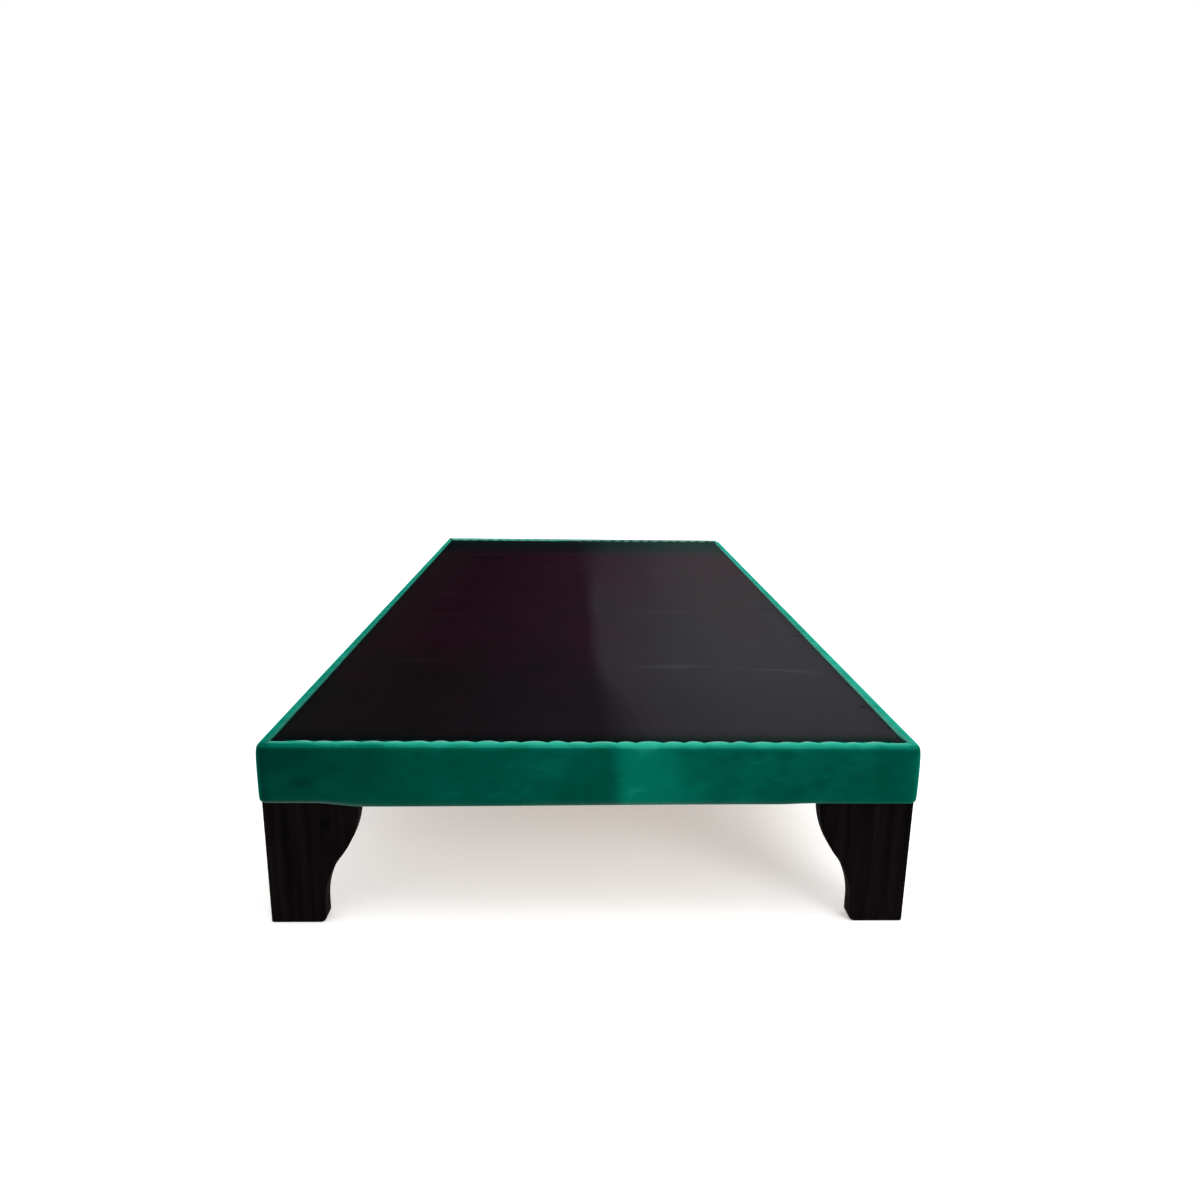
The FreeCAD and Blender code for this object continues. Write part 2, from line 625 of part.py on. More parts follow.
def make_feet(groups):
    foot = new_body("leg_blank")
    feature(foot, "Pad", "plank", foot_profile(foot), "Dims.leg_thickness", flip=True)
    faces = (0, size("Dims.leg_thickness"))
    top = size("Dims.leg_height")

    def outline_edge(edge):
        box = edge.BoundBox
        on_face = box.YLength < 1e-6 and any(abs(box.YMin - y) < 1e-6 for y in faces)
        return on_face and box.ZMin < top - 1e-3

    round_edges(foot, "heel", "Dims.heel_radius", edge_at(Vector(0, 1, 0), x=0, z=0))
    round_edges(foot, "arris", "Dims.leg_arris", outline_edge)
    place(foot, f"-({HALF_WIDTH} - Dims.leg_inset)", f"-({HALF_LENGTH} - Dims.leg_inset)")
    front_left = bored("leg_front_left", foot, groups["cleat_screws"])
    mirrored_corners("leg", front_left)


def make_cleats(groups):
    cleat = new_body("leg_cleat_blank")
    outline = rectangle(new_sketch(cleat, "plan", "XY_Plane"), "Dims.cleat_width", "Dims.cleat_side")
    feature(cleat, "Pad", "batten", outline, "Dims.cleat_side")
    holes = new_sketch(cleat, "bolt_holes", "XY_Plane")
    start_x = f"({HALF_WIDTH} - Dims.leg_inset - Dims.cleat_inset)"
    for side in ("-", "+"):
        circle(holes, f"({start_x} - {BOLT_X} {side} Dims.bolt_spacing / 2)", "Dims.cleat_side / 2",
               "Dims.bolt_clearance_hole")
    feature(cleat, "Pocket", "holes", holes, flip=True)
    place(cleat, f"-{start_x}", f"-({HALF_LENGTH} - Dims.leg_inset - Dims.leg_thickness)",
          "(Dims.leg_height - Dims.cleat_side)")
    front_left = bored("leg_cleat_front_left", cleat, groups["cleat_screws"])
    mirrored_corners("leg_cleat", front_left)


def make_centre_leg(groups):
    post = new_body("centre_leg_blank")
    plan = rectangle(new_sketch(post, "plan", "XY_Plane"), "Dims.post_side", "Dims.post_side")
    feature(post, "Pad", "post", plan, BEAM_BOTTOM)
    round_edges(post, "corners", "Dims.post_chamfer", lambda edge: edge.BoundBox.ZLength > 1, "Chamfer")
    place(post, "-Dims.post_side / 2", "-Dims.post_side / 2")
    bored("centre_leg", post, groups["dowel_screw"])


# ---- Upholstery ------------------------------------------------------------------------------------


def strip(label, side, profile, length, reach, rounding, corner, groups):
    """A strip of foam or velvet folded round a rail and mitred at both ends.

    side is front or left; profile is its section, from the outer face inwards and up; rounding lists
    (depth, height, radius) of the long edges to round; corner is the placement of its outer end.
    """
    body = new_body(f"{label}_blank")
    is_front = side == "front"
    section = polygon(new_sketch(body, "section", "YZ_Plane" if is_front else "XZ_Plane"), profile)
    feature(body, "Pad", "strip", section, length, flip=not is_front)
    direction = Vector(1, 0, 0) if is_front else Vector(0, 1, 0)
    for i, (depth, height, radius) in enumerate(rounding):
        at = {"y" if is_front else "x": size(depth), "z": size(height)}
        round_edges(body, f"fold_{i}", radius, edge_at(direction, **at))
    cut = f"({reach} + 1)"
    far = f"({length} - {cut})"
    ends = [[("0", "0"), (cut, cut), ("0", cut)], [(length, "0"), (length, cut), (far, cut)]]
    if not is_front:
        ends = [[(y, x) for x, y in triangle] for triangle in ends]
    before = body.Shape.Volume
    for i, triangle in enumerate(ends):
        outline = polygon(new_sketch(body, f"mitre_{i}", "XY_Plane"), triangle)
        feature(body, "Pocket", f"mitre_cut_{i}", outline, flip=True)
        if body.Shape.Volume > before - 1:
            raise RuntimeError(f"{label}'s mitre cut nothing")
        before = body.Shape.Volume
    place(body, *corner)
    bored(label, body, *groups)
    other = label.replace(side, "rear" if is_front else "right")
    twin = mirrored(f"{other}_blank", body, Vector(0, 1, 0) if is_front else Vector(1, 0, 0))
    bored(other, twin, *groups)


def make_foam(groups):
    f, lip, tall = "Dims.foam_thickness", "(Dims.lip_cover - Dims.velvet_thickness)", FOAM_HEIGHT
    inside = f"({tall} - {f})"
    profile = [("0", "0"), (f, "0"), (f, inside), (lip, inside), (lip, tall), ("0", tall)]
    rounding = [("0", tall, "(Dims.velvet_top_radius - Dims.velvet_thickness)"),
                (f, inside, "Dims.rail_arris"),
                ("0", "0", "(Dims.velvet_bottom_radius - Dims.velvet_thickness)")]
    corner = (f"-({HALF_WIDTH} - Dims.velvet_thickness)", f"-({HALF_LENGTH} - Dims.velvet_thickness)",
              RAIL_BOTTOM)
    for side, overall in (("front", "Dims.overall_width"), ("left", "Dims.overall_length")):
        length = f"({overall} - 2 * Dims.velvet_thickness)"
        strip(f"foam_{side}", side, profile, length, lip, rounding, corner, [groups["top_staples"]])


def make_velvet(groups):
    t, tall = "Dims.velvet_thickness", BAND_HEIGHT
    under, lip = "Dims.turn_under", "Dims.lip_cover"
    inside = f"({tall} - {t})"
    profile = [("0", "0"), (under, "0"), (under, t), (t, t), (t, inside), (lip, inside), (lip, tall),
               ("0", tall)]
    rounding = [("0", tall, "Dims.velvet_top_radius"), (t, inside, f"(Dims.velvet_top_radius - {t})"),
                ("0", "0", "Dims.velvet_bottom_radius"), (t, t, f"(Dims.velvet_bottom_radius - {t})")]
    corner = (f"-{HALF_WIDTH}", f"-{HALF_LENGTH}", "Dims.leg_height")
    for side, length in (("front", "Dims.overall_width"), ("left", "Dims.overall_length")):
        strip(f"velvet_{side}", side, profile, length, lip, rounding, corner,
              [groups["top_staples"], groups["underside_staples"]])


def make_deck_cloth(groups):
    cloth = new_body("deck_cloth_blank")
    width = "(Dims.overall_width - 2 * Dims.side_lip)"
    length = "(Dims.overall_length - 2 * Dims.front_lip)"
    feature(cloth, "Pad", "sheet", rectangle(new_sketch(cloth, "plan", "XY_Plane"), width, length),
            "Dims.cloth_thickness")
    place(cloth, f"-({HALF_WIDTH} - Dims.side_lip)", f"-({HALF_LENGTH} - Dims.front_lip)", DECK)
    bored("deck_cloth", cloth, groups["top_staples"])


def check_and_write():
    for thing in doc.Objects:
        if {"Invalid", "Error"} & set(thing.State):
            raise RuntimeError(f"{thing.Label} failed: {thing.State}")
    for thing in NODES:
        if thing.Shape.isNull() or not thing.Shape.isValid() or not thing.Shape.Solids:
            raise RuntimeError(f"{thing.Label} is not a valid solid")
    os.makedirs("parts", exist_ok=True)
    for thing in NODES:
        thing.Shape.exportStep(os.path.join("parts", f"{thing.Label}.step"))
    print(f"{len(NODES)} nodes, {sum(len(thing.Shape.Solids) for thing in NODES)} solids")


fasteners = make_fasteners()
make_rails(fasteners)
make_ledgers(fasteners)
make_corner_blocks(fasteners)
make_beam(fasteners)
make_slats(fasteners)
make_feet(fasteners)
make_cleats(fasteners)
make_centre_leg(fasteners)
make_foam(fasteners)
make_velvet(fasteners)
make_deck_cloth(fasteners)
doc.recompute()
check_and_write()
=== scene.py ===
"""The looks of a velvet-wrapped single bed base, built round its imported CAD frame.

The soft goods (velvet cover, foam, deck cloth) are modelled here and stand for their CAD solids. The
wood and the fasteners are the CAD's own nodes with detailed materials. Metres, in the CAD's frame:
X across, -Y the foot end that faces the camera, +Z up.
"""

import json
import math

import bmesh
import bpy
import numpy as np
from mathutils import Matrix, Vector, noise


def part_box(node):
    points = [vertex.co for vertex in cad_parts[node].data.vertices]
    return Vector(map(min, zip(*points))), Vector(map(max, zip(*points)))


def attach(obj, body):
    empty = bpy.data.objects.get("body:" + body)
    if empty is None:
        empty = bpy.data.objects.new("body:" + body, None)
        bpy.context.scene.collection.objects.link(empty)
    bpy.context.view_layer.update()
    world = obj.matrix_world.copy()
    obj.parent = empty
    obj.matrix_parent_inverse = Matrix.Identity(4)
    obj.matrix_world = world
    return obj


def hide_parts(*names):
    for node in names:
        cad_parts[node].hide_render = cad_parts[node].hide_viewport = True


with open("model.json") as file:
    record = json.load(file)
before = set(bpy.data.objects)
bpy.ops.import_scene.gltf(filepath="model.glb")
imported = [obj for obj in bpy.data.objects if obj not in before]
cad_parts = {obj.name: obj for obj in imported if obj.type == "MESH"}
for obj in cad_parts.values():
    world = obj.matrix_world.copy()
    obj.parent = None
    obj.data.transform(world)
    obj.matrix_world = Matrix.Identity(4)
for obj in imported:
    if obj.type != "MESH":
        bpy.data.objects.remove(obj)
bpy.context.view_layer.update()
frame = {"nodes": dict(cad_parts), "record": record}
nodes = frame["nodes"]

MM = 0.001
HALF_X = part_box("velvet_right")[1].x
HALF_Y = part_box("velvet_rear")[1].y
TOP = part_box("velvet_front")[1].z
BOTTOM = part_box("velvet_front")[0].z
CLOTH_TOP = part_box("deck_cloth")[1].z
SLAT_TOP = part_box("slat_01")[1].z
CLOTH_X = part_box("deck_cloth")[1].x
CLOTH_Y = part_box("deck_cloth")[1].y
CORNER = 14 * MM  # radius of the padded vertical corners
SIDES = ("front", "right", "rear", "left")
ENDS = ("front", "rear")
SLATS = [f"slat_{i:02d}" for i in range(1, 11)]


# ---- Small helpers ---------------------------------------------------------------------------------


def smooth(low, high, x):
    t = np.clip((x - low) / (high - low), 0, 1)
    return t * t * (3 - 2 * t)


def wobble(points, scale, seed=0.0):
    """Smooth noise from about -1 to 1 at each point; scale is the size of its bumps."""
    shift = Vector((seed * 7.31, seed * 3.17, seed * 11.7))
    return np.array([noise.noise(Vector(p) / scale + shift) for p in points])


def solid_centres(node):
    """The middle of each separate solid of a node, from the connected pieces of its mesh."""
    mesh = nodes[node].data
    points = np.array([v.co for v in mesh.vertices], float)
    keys = {}
    merged = np.array([keys.setdefault(tuple(p), len(keys)) for p in np.round(points, 6)])
    root = np.arange(len(keys))

    def find(i):
        while root[i] != i:
            root[i] = root[root[i]]
            i = root[i]
        return i

    for edge in mesh.edges:
        a, b = find(merged[edge.vertices[0]]), find(merged[edge.vertices[1]])
        root[a] = b
    groups = {}
    for point, key in zip(points, merged):
        groups.setdefault(find(key), []).append(point)
    found = [(np.min(g, axis=0) + np.max(g, axis=0)) / 2 for g in groups.values()]
    return np.array(sorted(found, key=tuple))


def new_object(name, points, faces, smooth_shaded=True):
    mesh = bpy.data.meshes.new(name)
    mesh.from_pydata([tuple(p) for p in points], [], faces)
    mesh.update()
    made = bpy.data.objects.new(name, mesh)
    bpy.context.scene.collection.objects.link(made)
    if smooth_shaded:
        mesh.shade_smooth()
    return made


def weld(obj):
    """Joins points that coincide and drops the faces that this flattens."""
    work = bmesh.new()
    work.from_mesh(obj.data)
    bmesh.ops.remove_doubles(work, verts=work.verts, dist=0.01 * MM)
    bmesh.ops.dissolve_degenerate(work, edges=work.edges, dist=0.001 * MM)
    bmesh.ops.recalc_face_normals(work, faces=work.faces)
    work.to_mesh(obj.data)
    work.free()
    obj.data.update()


def paint(obj, name, values):
    """Stores one number per point for the material to read."""
    attribute = obj.data.attributes.new(name, "FLOAT", "POINT")
    attribute.data.foreach_set("value", np.asarray(values, np.float32))


def points_of(obj):
    co = np.zeros(len(obj.data.vertices) * 3)
    obj.data.vertices.foreach_get("co", co)
    return co.reshape(-1, 3)


# ---- Where the staples are -------------------------------------------------------------------------


def by_side(centres, edge_x, edge_y):
    """Staple places along each side, as distances along it."""
    rows = {}
    for side in SIDES:
        along, across = (0, 1) if side in ENDS else (1, 0)
        edge = {"front": -edge_y, "rear": edge_y, "left": -edge_x, "right": edge_x}[side]
        rows[side] = np.sort([c[along] for c in centres if abs(c[across] - edge) < 4 * MM])
    return rows


top_centres = solid_centres("top_staples")
under_centres = solid_centres("underside_staples")
TOP_ROW_X, TOP_ROW_Y = np.abs(top_centres[:, 0]).max(), np.abs(top_centres[:, 1]).max()
UNDER_ROW_X, UNDER_ROW_Y = np.abs(under_centres[:, 0]).max(), np.abs(under_centres[:, 1]).max()
TOP_STAPLES = by_side(top_centres, TOP_ROW_X, TOP_ROW_Y)
UNDER_STAPLES = by_side(under_centres, UNDER_ROW_X, UNDER_ROW_Y)
CROWN = 5.5 * MM  # half a staple's width


def between(row, along):
    """0 at a staple, 1 half way to the next, and past the row's ends as if it went on."""
    row = np.concatenate([[2 * row[0] - row[1]], row, [2 * row[-1] - row[-2]]])
    i = np.clip(np.searchsorted(row, along) - 1, 0, len(row) - 2)
    t = np.clip((along - row[i]) / (row[i + 1] - row[i]), 0, 1)
    return 4 * t * (1 - t)


LEAST_GAP, MOST_GAP = 0.55, 1.25


def each_gap(row, along, seed):
    """A number from the least to the most for the gap between staples that holds each place."""
    i = np.searchsorted(row, along)
    share = np.abs(np.modf(np.sin(i * 12.9898 + seed * 78.233) * 43758.5453)[0])
    return LEAST_GAP + (MOST_GAP - LEAST_GAP) * share


# How far each lip swells between staples, how strong its crushed pile and painted highlight are
# beside the cloth, and how many millimetres the cloth's edge is drawn in from its straight line.
PUFF = {"front": 1.0, "right": 0.35, "rear": 0.8, "left": 0.35}
CRUSH_SHEEN = {"front": 1.0, "right": 0.5, "rear": 0.8, "left": 0.2}
DRAWN_IN = {"front": 0.0, "right": 3.0, "rear": 0.0, "left": 1.2}


def lip_of(side):
    """How much velvet shows on top of a side."""
    return HALF_Y - CLOTH_Y if side in ENDS else HALF_X - CLOTH_X


def edge_pull(side, along):
    """How far the cloth's edge is drawn in at a place: least at a staple, most between two."""
    row = TOP_STAPLES[side]
    gap = each_gap(row, along, SIDES.index(side))
    return (DRAWN_IN[side] - 0.7 + (3.4 * PUFF[side] - 0.4) * gap * between(row, along)) * MM


CREST_BACK = 4.5 * MM  # from the cloth's edge out to the top of the swelling


def swell(side, along, d):
    """How far the padding lifts velvet and cloth, d in from the outer face: up between staples."""
    row = TOP_STAPLES[side]
    centre = lip_of(side) - CREST_BACK
    width = np.where(d < centre, 5.5 * MM, 9 * MM)
    gap = each_gap(row, along, 3 + SIDES.index(side))
    amount = 1.5 * gap * between(row, along) - 0.9 * (1 - between(row, along))
    return PUFF[side] * amount * np.exp(-(((d - centre) / width) ** 2)) * MM


# ---- Velvet cover and the foam under it ------------------------------------------------------------


def ring_places(step, corner_steps):
    """Places round the base: (side, share along it from -1 to 1, turn through the corner after it).

    A straight place has turn None; a corner place belongs to the corner that follows its side.
    """
    places = []
    for side in SIDES:
        length = 2 * (HALF_X if side in ENDS else HALF_Y)
        count = int(round(length / step))
        places += [(side, -1 + 2 * i / count, None) for i in range(count + 1)]
        places += [(side, 1.0, (i + 1) / (corner_steps + 1)) for i in range(corner_steps)]
    return places


# Each side's start-to-end direction and the direction into the base.
DIRECTIONS = {
    "front": (np.array([1.0, 0.0]), np.array([0.0, 1.0])),
    "right": (np.array([0.0, 1.0]), np.array([-1.0, 0.0])),
    "rear": (np.array([-1.0, 0.0]), np.array([0.0, -1.0])),
    "left": (np.array([0.0, -1.0]), np.array([1.0, 0.0])),
}


def ring_point(side, share, turn, inset):
    """The plan position at a place on the ring, that far in from the outer faces."""
    along, inward = DIRECTIONS[side]
    half_along, half_across = (HALF_X, HALF_Y) if side in ENDS else (HALF_Y, HALF_X)
    reach = half_along - max(inset, CORNER)
    if turn is None:
        return along * share * reach - inward * (half_across - inset)
    centre = along * reach - inward * (half_across - max(inset, CORNER))
    radius = max(CORNER - inset, 0.0)
    angle = turn * math.pi / 2
    return centre + radius * (along * math.sin(angle) - inward * math.cos(angle))


def ring_along(side, share):
    """Signed distance along the side, matching X on the front and rear, Y on the left and right."""
    half = HALF_X if side in ENDS else HALF_Y
    sign = 1 if side in ("front", "right") else -1
    return sign * share * half


def beside_staples(side, along, turn):
    """Whether a place on the ring lies along its side's staples, and not at a corner."""
    return turn is None and abs(along) < TOP_STAPLES[side][-1] + 8 * MM


def ring_faces(count, rows, closed):
    """The faces between neighbouring sections round the ring; a closed section joins its own ends."""
    faces = []
    for i in range(count):
        a, b = i * rows, (i + 1) % count * rows
        for j in range(rows if closed else rows - 1):
            following = (j + 1) % rows
            faces.append((a + j, b + j, b + following, a + following))
    return faces


FOOT_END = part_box("leg_front_left")[1].x  # the left feet's inner end; the right feet mirror it
CLEAT_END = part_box("leg_cleat_front_left")[1].y  # the front cleats' rear end, mirrored likewise
SAG = 4.1 * MM  # how far the velvet's underside hangs where its share is 1


def slack(along):
    """The share of SAG at a place: most at the left end of a run, least at the right."""
    return 1.5 - 1.05 * smooth(-0.38, 0.3, along)


def leg_free(side, along):
    """0 where a foot or its cleat holds the velvet's underside up, more where it is free to sag."""
    foot = abs(FOOT_END) if side in ENDS else abs(CLEAT_END)
    ease = 4 * MM if along < 0 and side == "front" else 60 * MM
    return float(smooth(foot, foot - ease, abs(along)) * slack(along))


def fold_free(side, along):
    """The same for the fold's outer edge, which also hangs a little in front of the left foot."""
    free = leg_free(side, along)
    if side != "front" or along > 0:
        return free
    in_front = smooth(abs(FOOT_END) + 80 * MM, abs(FOOT_END) - 4 * MM, abs(along))
    return max(free, float(in_front * slack(along)))


# The velvet's section from its turned-under edge to under the cloth: how far in from the outer face
# and how high above BOTTOM, both in mm, and the share of SAG it follows.
VELVET_SECTION = [
    (34.0, 0.55, 0.0), (32.0, 0.45, 0.05), (30.0, 0.4, 0.1), (28.0, 0.4, 0.15), (26.0, 0.4, 0.25),
    (22.0, 0.35, 0.4), (18.0, 0.3, 0.55), (14.0, 0.25, 0.75), (10.5, 0.2, 0.9), (7.0, 0.15, 1.0),
    (4.0, 0.1, 1.0), (1.8, 0.15, 1.0), (0.2, 0.6, 1.0), (-0.9, 1.5, 0.95), (-1.6, 3.0, 0.9),
    (-1.9, 5.5, 0.75), (-2.1, 10.0, 0.45), (-2.2, 17.0, 0.2), (-2.3, 25.0, 0.05), (-2.4, 35.0, 0.0),
    (-2.4, 45.0, 0.0), (-2.3, 54.0, 0.0), (-2.2, 62.0, 0.0), (-2.0, 69.0, 0.0), (-1.7, 75.5, 0.0),
    (-1.2, 80.5, 0.0), (-0.5, 84.5, 0.0), (0.5, 87.6, 0.0), (1.9, 90.0, 0.0), (3.8, 91.8, 0.0),
    (6.2, 92.9, 0.0), (8.8, 93.4, 0.0), (11.4, 93.4, 0.0), (13.8, 93.1, 0.0), (16.0, 92.7, 0.0),
    (18.0, 92.3, 0.0), (20.0, 92.0, 0.0), (22.5, 91.85, 0.0), (25.0, 91.8, 0.0), (28.0, 91.75, 0.0),
    (31.0, 91.7, 0.0), (34.5, 91.6, 0.0), (38.0, 91.45, 0.0), (42.0, 91.3, 0.0),
]

PRESSED = 90.75  # the pile's height under the cloth, in mm as in the section
PRESS_START, PRESS_END = 4.4 * MM, 1.6 * MM  # where the pressing sets in, outside the cloth's edge
REAR_CREST = 5 * MM  # how much higher the rear lip is padded
VELVET_THICK = 0.9 * MM
CORNER_EASE = (2 * MM, 22 * MM)  # the cloth's edge comes back to its line this near a corner
# The band of crushed pile and painted highlight beside the cloth: from its edge out to the band's
# middle, its width, its evenness.
CRUSHED_SHEEN_END = (4.5 * MM, 4.0 * MM, 0.0)
CRUSHED_SHEEN_SIDE = (2.5 * MM, 2.6 * MM, 0.8)


def bell(x, centre, width):
    """1 at the centre, falling to 1/e a width away."""
    return math.exp(-((x - centre) / width) ** 2)


def velvet_rings(places):
    """The cover's points, with how pale the pile is from crushing and painted highlight, and how loose
    it is, at each.
    """
    rows = len(VELVET_SECTION)
    points = np.zeros((len(places), rows, 3))
    crushed_sheen = np.zeros((len(places), rows))
    loose = np.ones((len(places), rows))
    for i, (side, share, turn) in enumerate(places):
        along = ring_along(side, share)
        free = leg_free(side, along) if turn is None else 0.0
        fold_hang = fold_free(side, along) if turn is None else 0.0
        straight = beside_staples(side, along, turn)
        puff = between(TOP_STAPLES[side], along) if straight else 0.5
        pull = 1 - between(UNDER_STAPLES[side], along)
        to_corner = (CLOTH_X if side in ENDS else CLOTH_Y) - abs(along)
        back, wide, even = CRUSHED_SHEEN_END if side in ENDS else CRUSHED_SHEEN_SIDE
        edge = lip_of(side)
        if turn is None:
            edge += edge_pull(side, along) * float(smooth(*CORNER_EASE, to_corner))
        for j, (inset, height, follows) in enumerate(VELVET_SECTION):
            d = inset * MM
            on_top = smooth(3 * MM, 9 * MM, d) if height > 80 else 0.0
            # From the cloth's edge inwards the pile is pressed flat under it.
            pressed = on_top * smooth(edge - PRESS_START, edge - PRESS_END, d)
            level = height + (min(height, PRESSED) - height) * pressed
            pinch = bell(d, HALF_X - UNDER_ROW_X, 4 * MM) if height < 2 else 0.0
            hang = fold_hang if d < 3 * MM else free
            z = BOTTOM + level * MM - follows * hang * SAG
            if straight:
                z += on_top * float(swell(side, along, d))
            if side == "rear":
                z += on_top * bell(d, 10 * MM, 6.5 * MM) * REAR_CREST
            z += pinch * (0.25 + 0.7 * pull ** 6) * MM
            x, y = ring_point(side, share, turn, d)
            points[i, j] = (x, y, z)
            # Crushed pile with a painted highlight, strongest where the lip swells between staples.
            near_edge = bell(d, edge - back, wide) * (even + (1 - even) * puff)
            crushed_sheen[i, j] = on_top * near_edge * (1 - pressed) * CRUSH_SHEEN[side]
            loose[i, j] = 1 - pressed
    return points, crushed_sheen, loose


def make_velvet():
    places = ring_places(4 * MM, 7)
    rows = len(VELVET_SECTION)
    points, crushed_sheen, loose = velvet_rings(places)
    flat = points.reshape(-1, 3)
    height = np.tile([h for _, h, _ in VELVET_SECTION], len(places))
    inset = np.tile([d for d, _, _ in VELVET_SECTION], len(places))
    # Slack and tension: long shallow waves on the outer face and the top.
    face = smooth(6, 25, height) * smooth(91, 78, height) * (inset < 1)
    away = flat.copy()
    away[:, 0] -= np.clip(flat[:, 0], -(HALF_X - CORNER), HALF_X - CORNER)
    away[:, 1] -= np.clip(flat[:, 1], -(HALF_Y - CORNER), HALF_Y - CORNER)
    away[:, 2] = 0
    away /= np.maximum(np.linalg.norm(away, axis=1), 1e-9)[:, None]
    ripple = 0.45 * wobble(flat, 0.11, 1) + 0.25 * wobble(flat * (1, 1, 0.35), 0.035, 2)
    flat += away * (face * ripple * MM)[:, None]
    upper = (height > 89) * smooth(3, 9, inset) * loose.ravel()
    flat[:, 2] += upper * (0.22 * wobble(flat, 0.05, 3) + 0.12 * wobble(flat, 0.018, 4)) * MM
    # The side strips lie over the end strips at the mitres, so each mitre is a small step.
    corner_x, corner_y = HALF_X - np.abs(flat[:, 0]), HALF_Y - np.abs(flat[:, 1])
    beyond = corner_y - corner_x
    is_side = np.repeat([side not in ENDS for side, _, _ in places], rows)
    lap = smooth(14 * MM, 1 * MM, beyond) * smooth(1 * MM, 8 * MM, corner_x) * is_side
    flat[:, 2] += upper * lap * 0.8 * MM
    groove = np.exp(-((beyond / (1.6 * MM)) ** 2)) * smooth(1 * MM, 8 * MM, corner_x) * ~is_side
    flat[:, 2] -= upper * groove * 0.7 * MM
    # No crushed pile or painted highlight at the mitres.
    crushed_sheen *= 1 - smooth(4 * MM, 1 * MM, np.abs(beyond).reshape(crushed_sheen.shape))

    cover = new_object("velvet_cover", flat, ring_faces(len(places), rows, closed=False))
    # The crushed pile beside the cloth, with its painted highlight.
    paint(cover, "crushed_sheen", crushed_sheen.ravel())
    # The fold along the bottom, where the pile parts and the greyer backing shows, with a painted
    # highlight along its roll.
    patchy = np.clip(0.32 + 0.75 * wobble(flat, 0.14, 14), 0, 1)
    paint(cover, "fold", smooth(6.5, 0.5, height) * smooth(9, 3, inset) * patchy)
    weld(cover)
    thick = cover.modifiers.new("pile", "SOLIDIFY")
    thick.thickness = VELVET_THICK
    thick.offset = -1
    return cover


# The foam's section, measured as the velvet's: a closed loop from the outer face over the top lip and
# back along the rail.
FOAM_SECTION = [
    (1.4, 4.0), (0.3, 7.0), (-0.5, 11.0), (-1.0, 25.0), (-1.1, 60.0), (-0.6, 77.0), (0.5, 84.5),
    (2.4, 88.4), (5.0, 90.6), (8.5, 91.5), (12.0, 91.3), (15.0, 90.4), (19.0, 89.7), (28.0, 89.6),
    (40.6, 89.6), (40.8, 87.3), (28.0, 87.25), (8.0, 87.25), (5.2, 86.9), (4.45, 85.6), (4.42, 60.0),
    (4.42, 11.0), (4.42, 3.4),
]


def make_foam():
    """The foam all round the rails, swelling between the staples as the velvet over it does."""
    places = ring_places(6 * MM, 6)
    rows = len(FOAM_SECTION)
    points = []
    for side, share, turn in places:
        along = ring_along(side, share)
        straight = beside_staples(side, along, turn)
        for inset, height in FOAM_SECTION:
            x, y = ring_point(side, share, turn, inset * MM)
            lift = float(swell(side, along, inset * MM)) if straight and height > 89 else 0.0
            points.append((x, y, BOTTOM + height * MM + lift))
    foam = new_object("foam_wrap", points, ring_faces(len(places), rows, closed=True))
    weld(foam)
    return foam


# ---- Deck cloth ------------------------------------------------------------------------------------

HEM = 13 * MM
# In mm: the fold at the cloth's edge, outward and down from it, then the hem running back under.
HEM_FOLD = [(0.28, -0.08), (0.42, -0.3), (0.3, -0.52), (0.0, -0.6)]
HEM_UNDER = [-3.0, -7.0, -12.6]
# How far below the cloth's face the hem leaves the fold, and how far below its flat level it settles.
FOLD_DROP, HEM_DROP = 0.62 * MM, 0.74 * MM


def edge_spaced(half, fine, coarse, band):
    """Places from -half to half, fine within band of each end."""
    inner = half - band
    middle = np.linspace(-inner, inner, int(round(2 * inner / coarse)) + 1)
    rim = np.linspace(inner, half, int(round(band / fine)) + 1)[1:]
    return np.concatenate([-rim[::-1], middle, rim])


def slat_spans():
    """Where each slat starts and ends along the base."""
    return np.array([(low.y, high.y) for low, high in map(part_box, SLATS)])


def sag_between_slats(y):
    """How far the cloth hangs at each y: nothing over a slat, most half way across a gap."""
    spans = slat_spans()
    drop = np.zeros_like(y)
    for k in range(len(spans) - 1):
        start, end = spans[k][1] - 2 * MM, spans[k + 1][0] + 2 * MM
        t = np.clip((y - start) / (end - start), 0, 1)
        depth = 0.22 + 0.12 * math.sin(k * 2.1)  # no two gaps alike
        drop += depth * MM * (4 * t * (1 - t)) ** 0.8
    return drop


# Ridges that slat edges raise in the cloth: place along the base, first and last place across, and
# height in mm.
RIDGES = [(-0.565, 0.12, 0.42, 0.80), (-0.53, -0.44, -0.30, 0.45), (-0.15, -0.42, -0.24, 0.35),
          (-0.12, 0.16, 0.44, 0.45), (0.05, -0.40, -0.10, 0.25), (0.36, -0.44, -0.05, 0.45),
          (0.41, 0.08, 0.40, 0.30), (0.66, -0.46, -0.02, 0.60), (0.70, 0.05, 0.42, 0.25)]

# Small dents beside the right side's staples, where the cloth was pulled by hand.
PULLS = [(0.465, -0.775), (0.462, -0.33), (0.452, -0.10), (0.458, 0.06), (0.450, 0.30)]


def ridges(x, y):
    """The height of the ridges at each place, in millimetres: wavering, and broken into lengths."""
    total = np.zeros_like(x)
    for ridge_y, start, end, height in RIDGES:
        phase = ridge_y * 23
        line = y - ridge_y - 0.010 * np.sin(x / 0.085 + phase) - 0.004 * np.sin(x / 0.027 + 2 * phase)
        # Near the sides they bend towards the foot end.
        line += 0.35 * np.maximum(np.abs(x) - 0.33, 0) ** 1.3
        wide = (8 + 4 * np.sin(x / 0.06 + phase)) * MM
        along = smooth(start - 0.08, start + 0.08, x) * smooth(end + 0.06, end - 0.06, x)
        broken = 0.6 + 0.4 * np.sin(x / 0.045 + 3 * phase)
        total += height * np.exp(-((line / wide) ** 2)) * along * broken
    return total


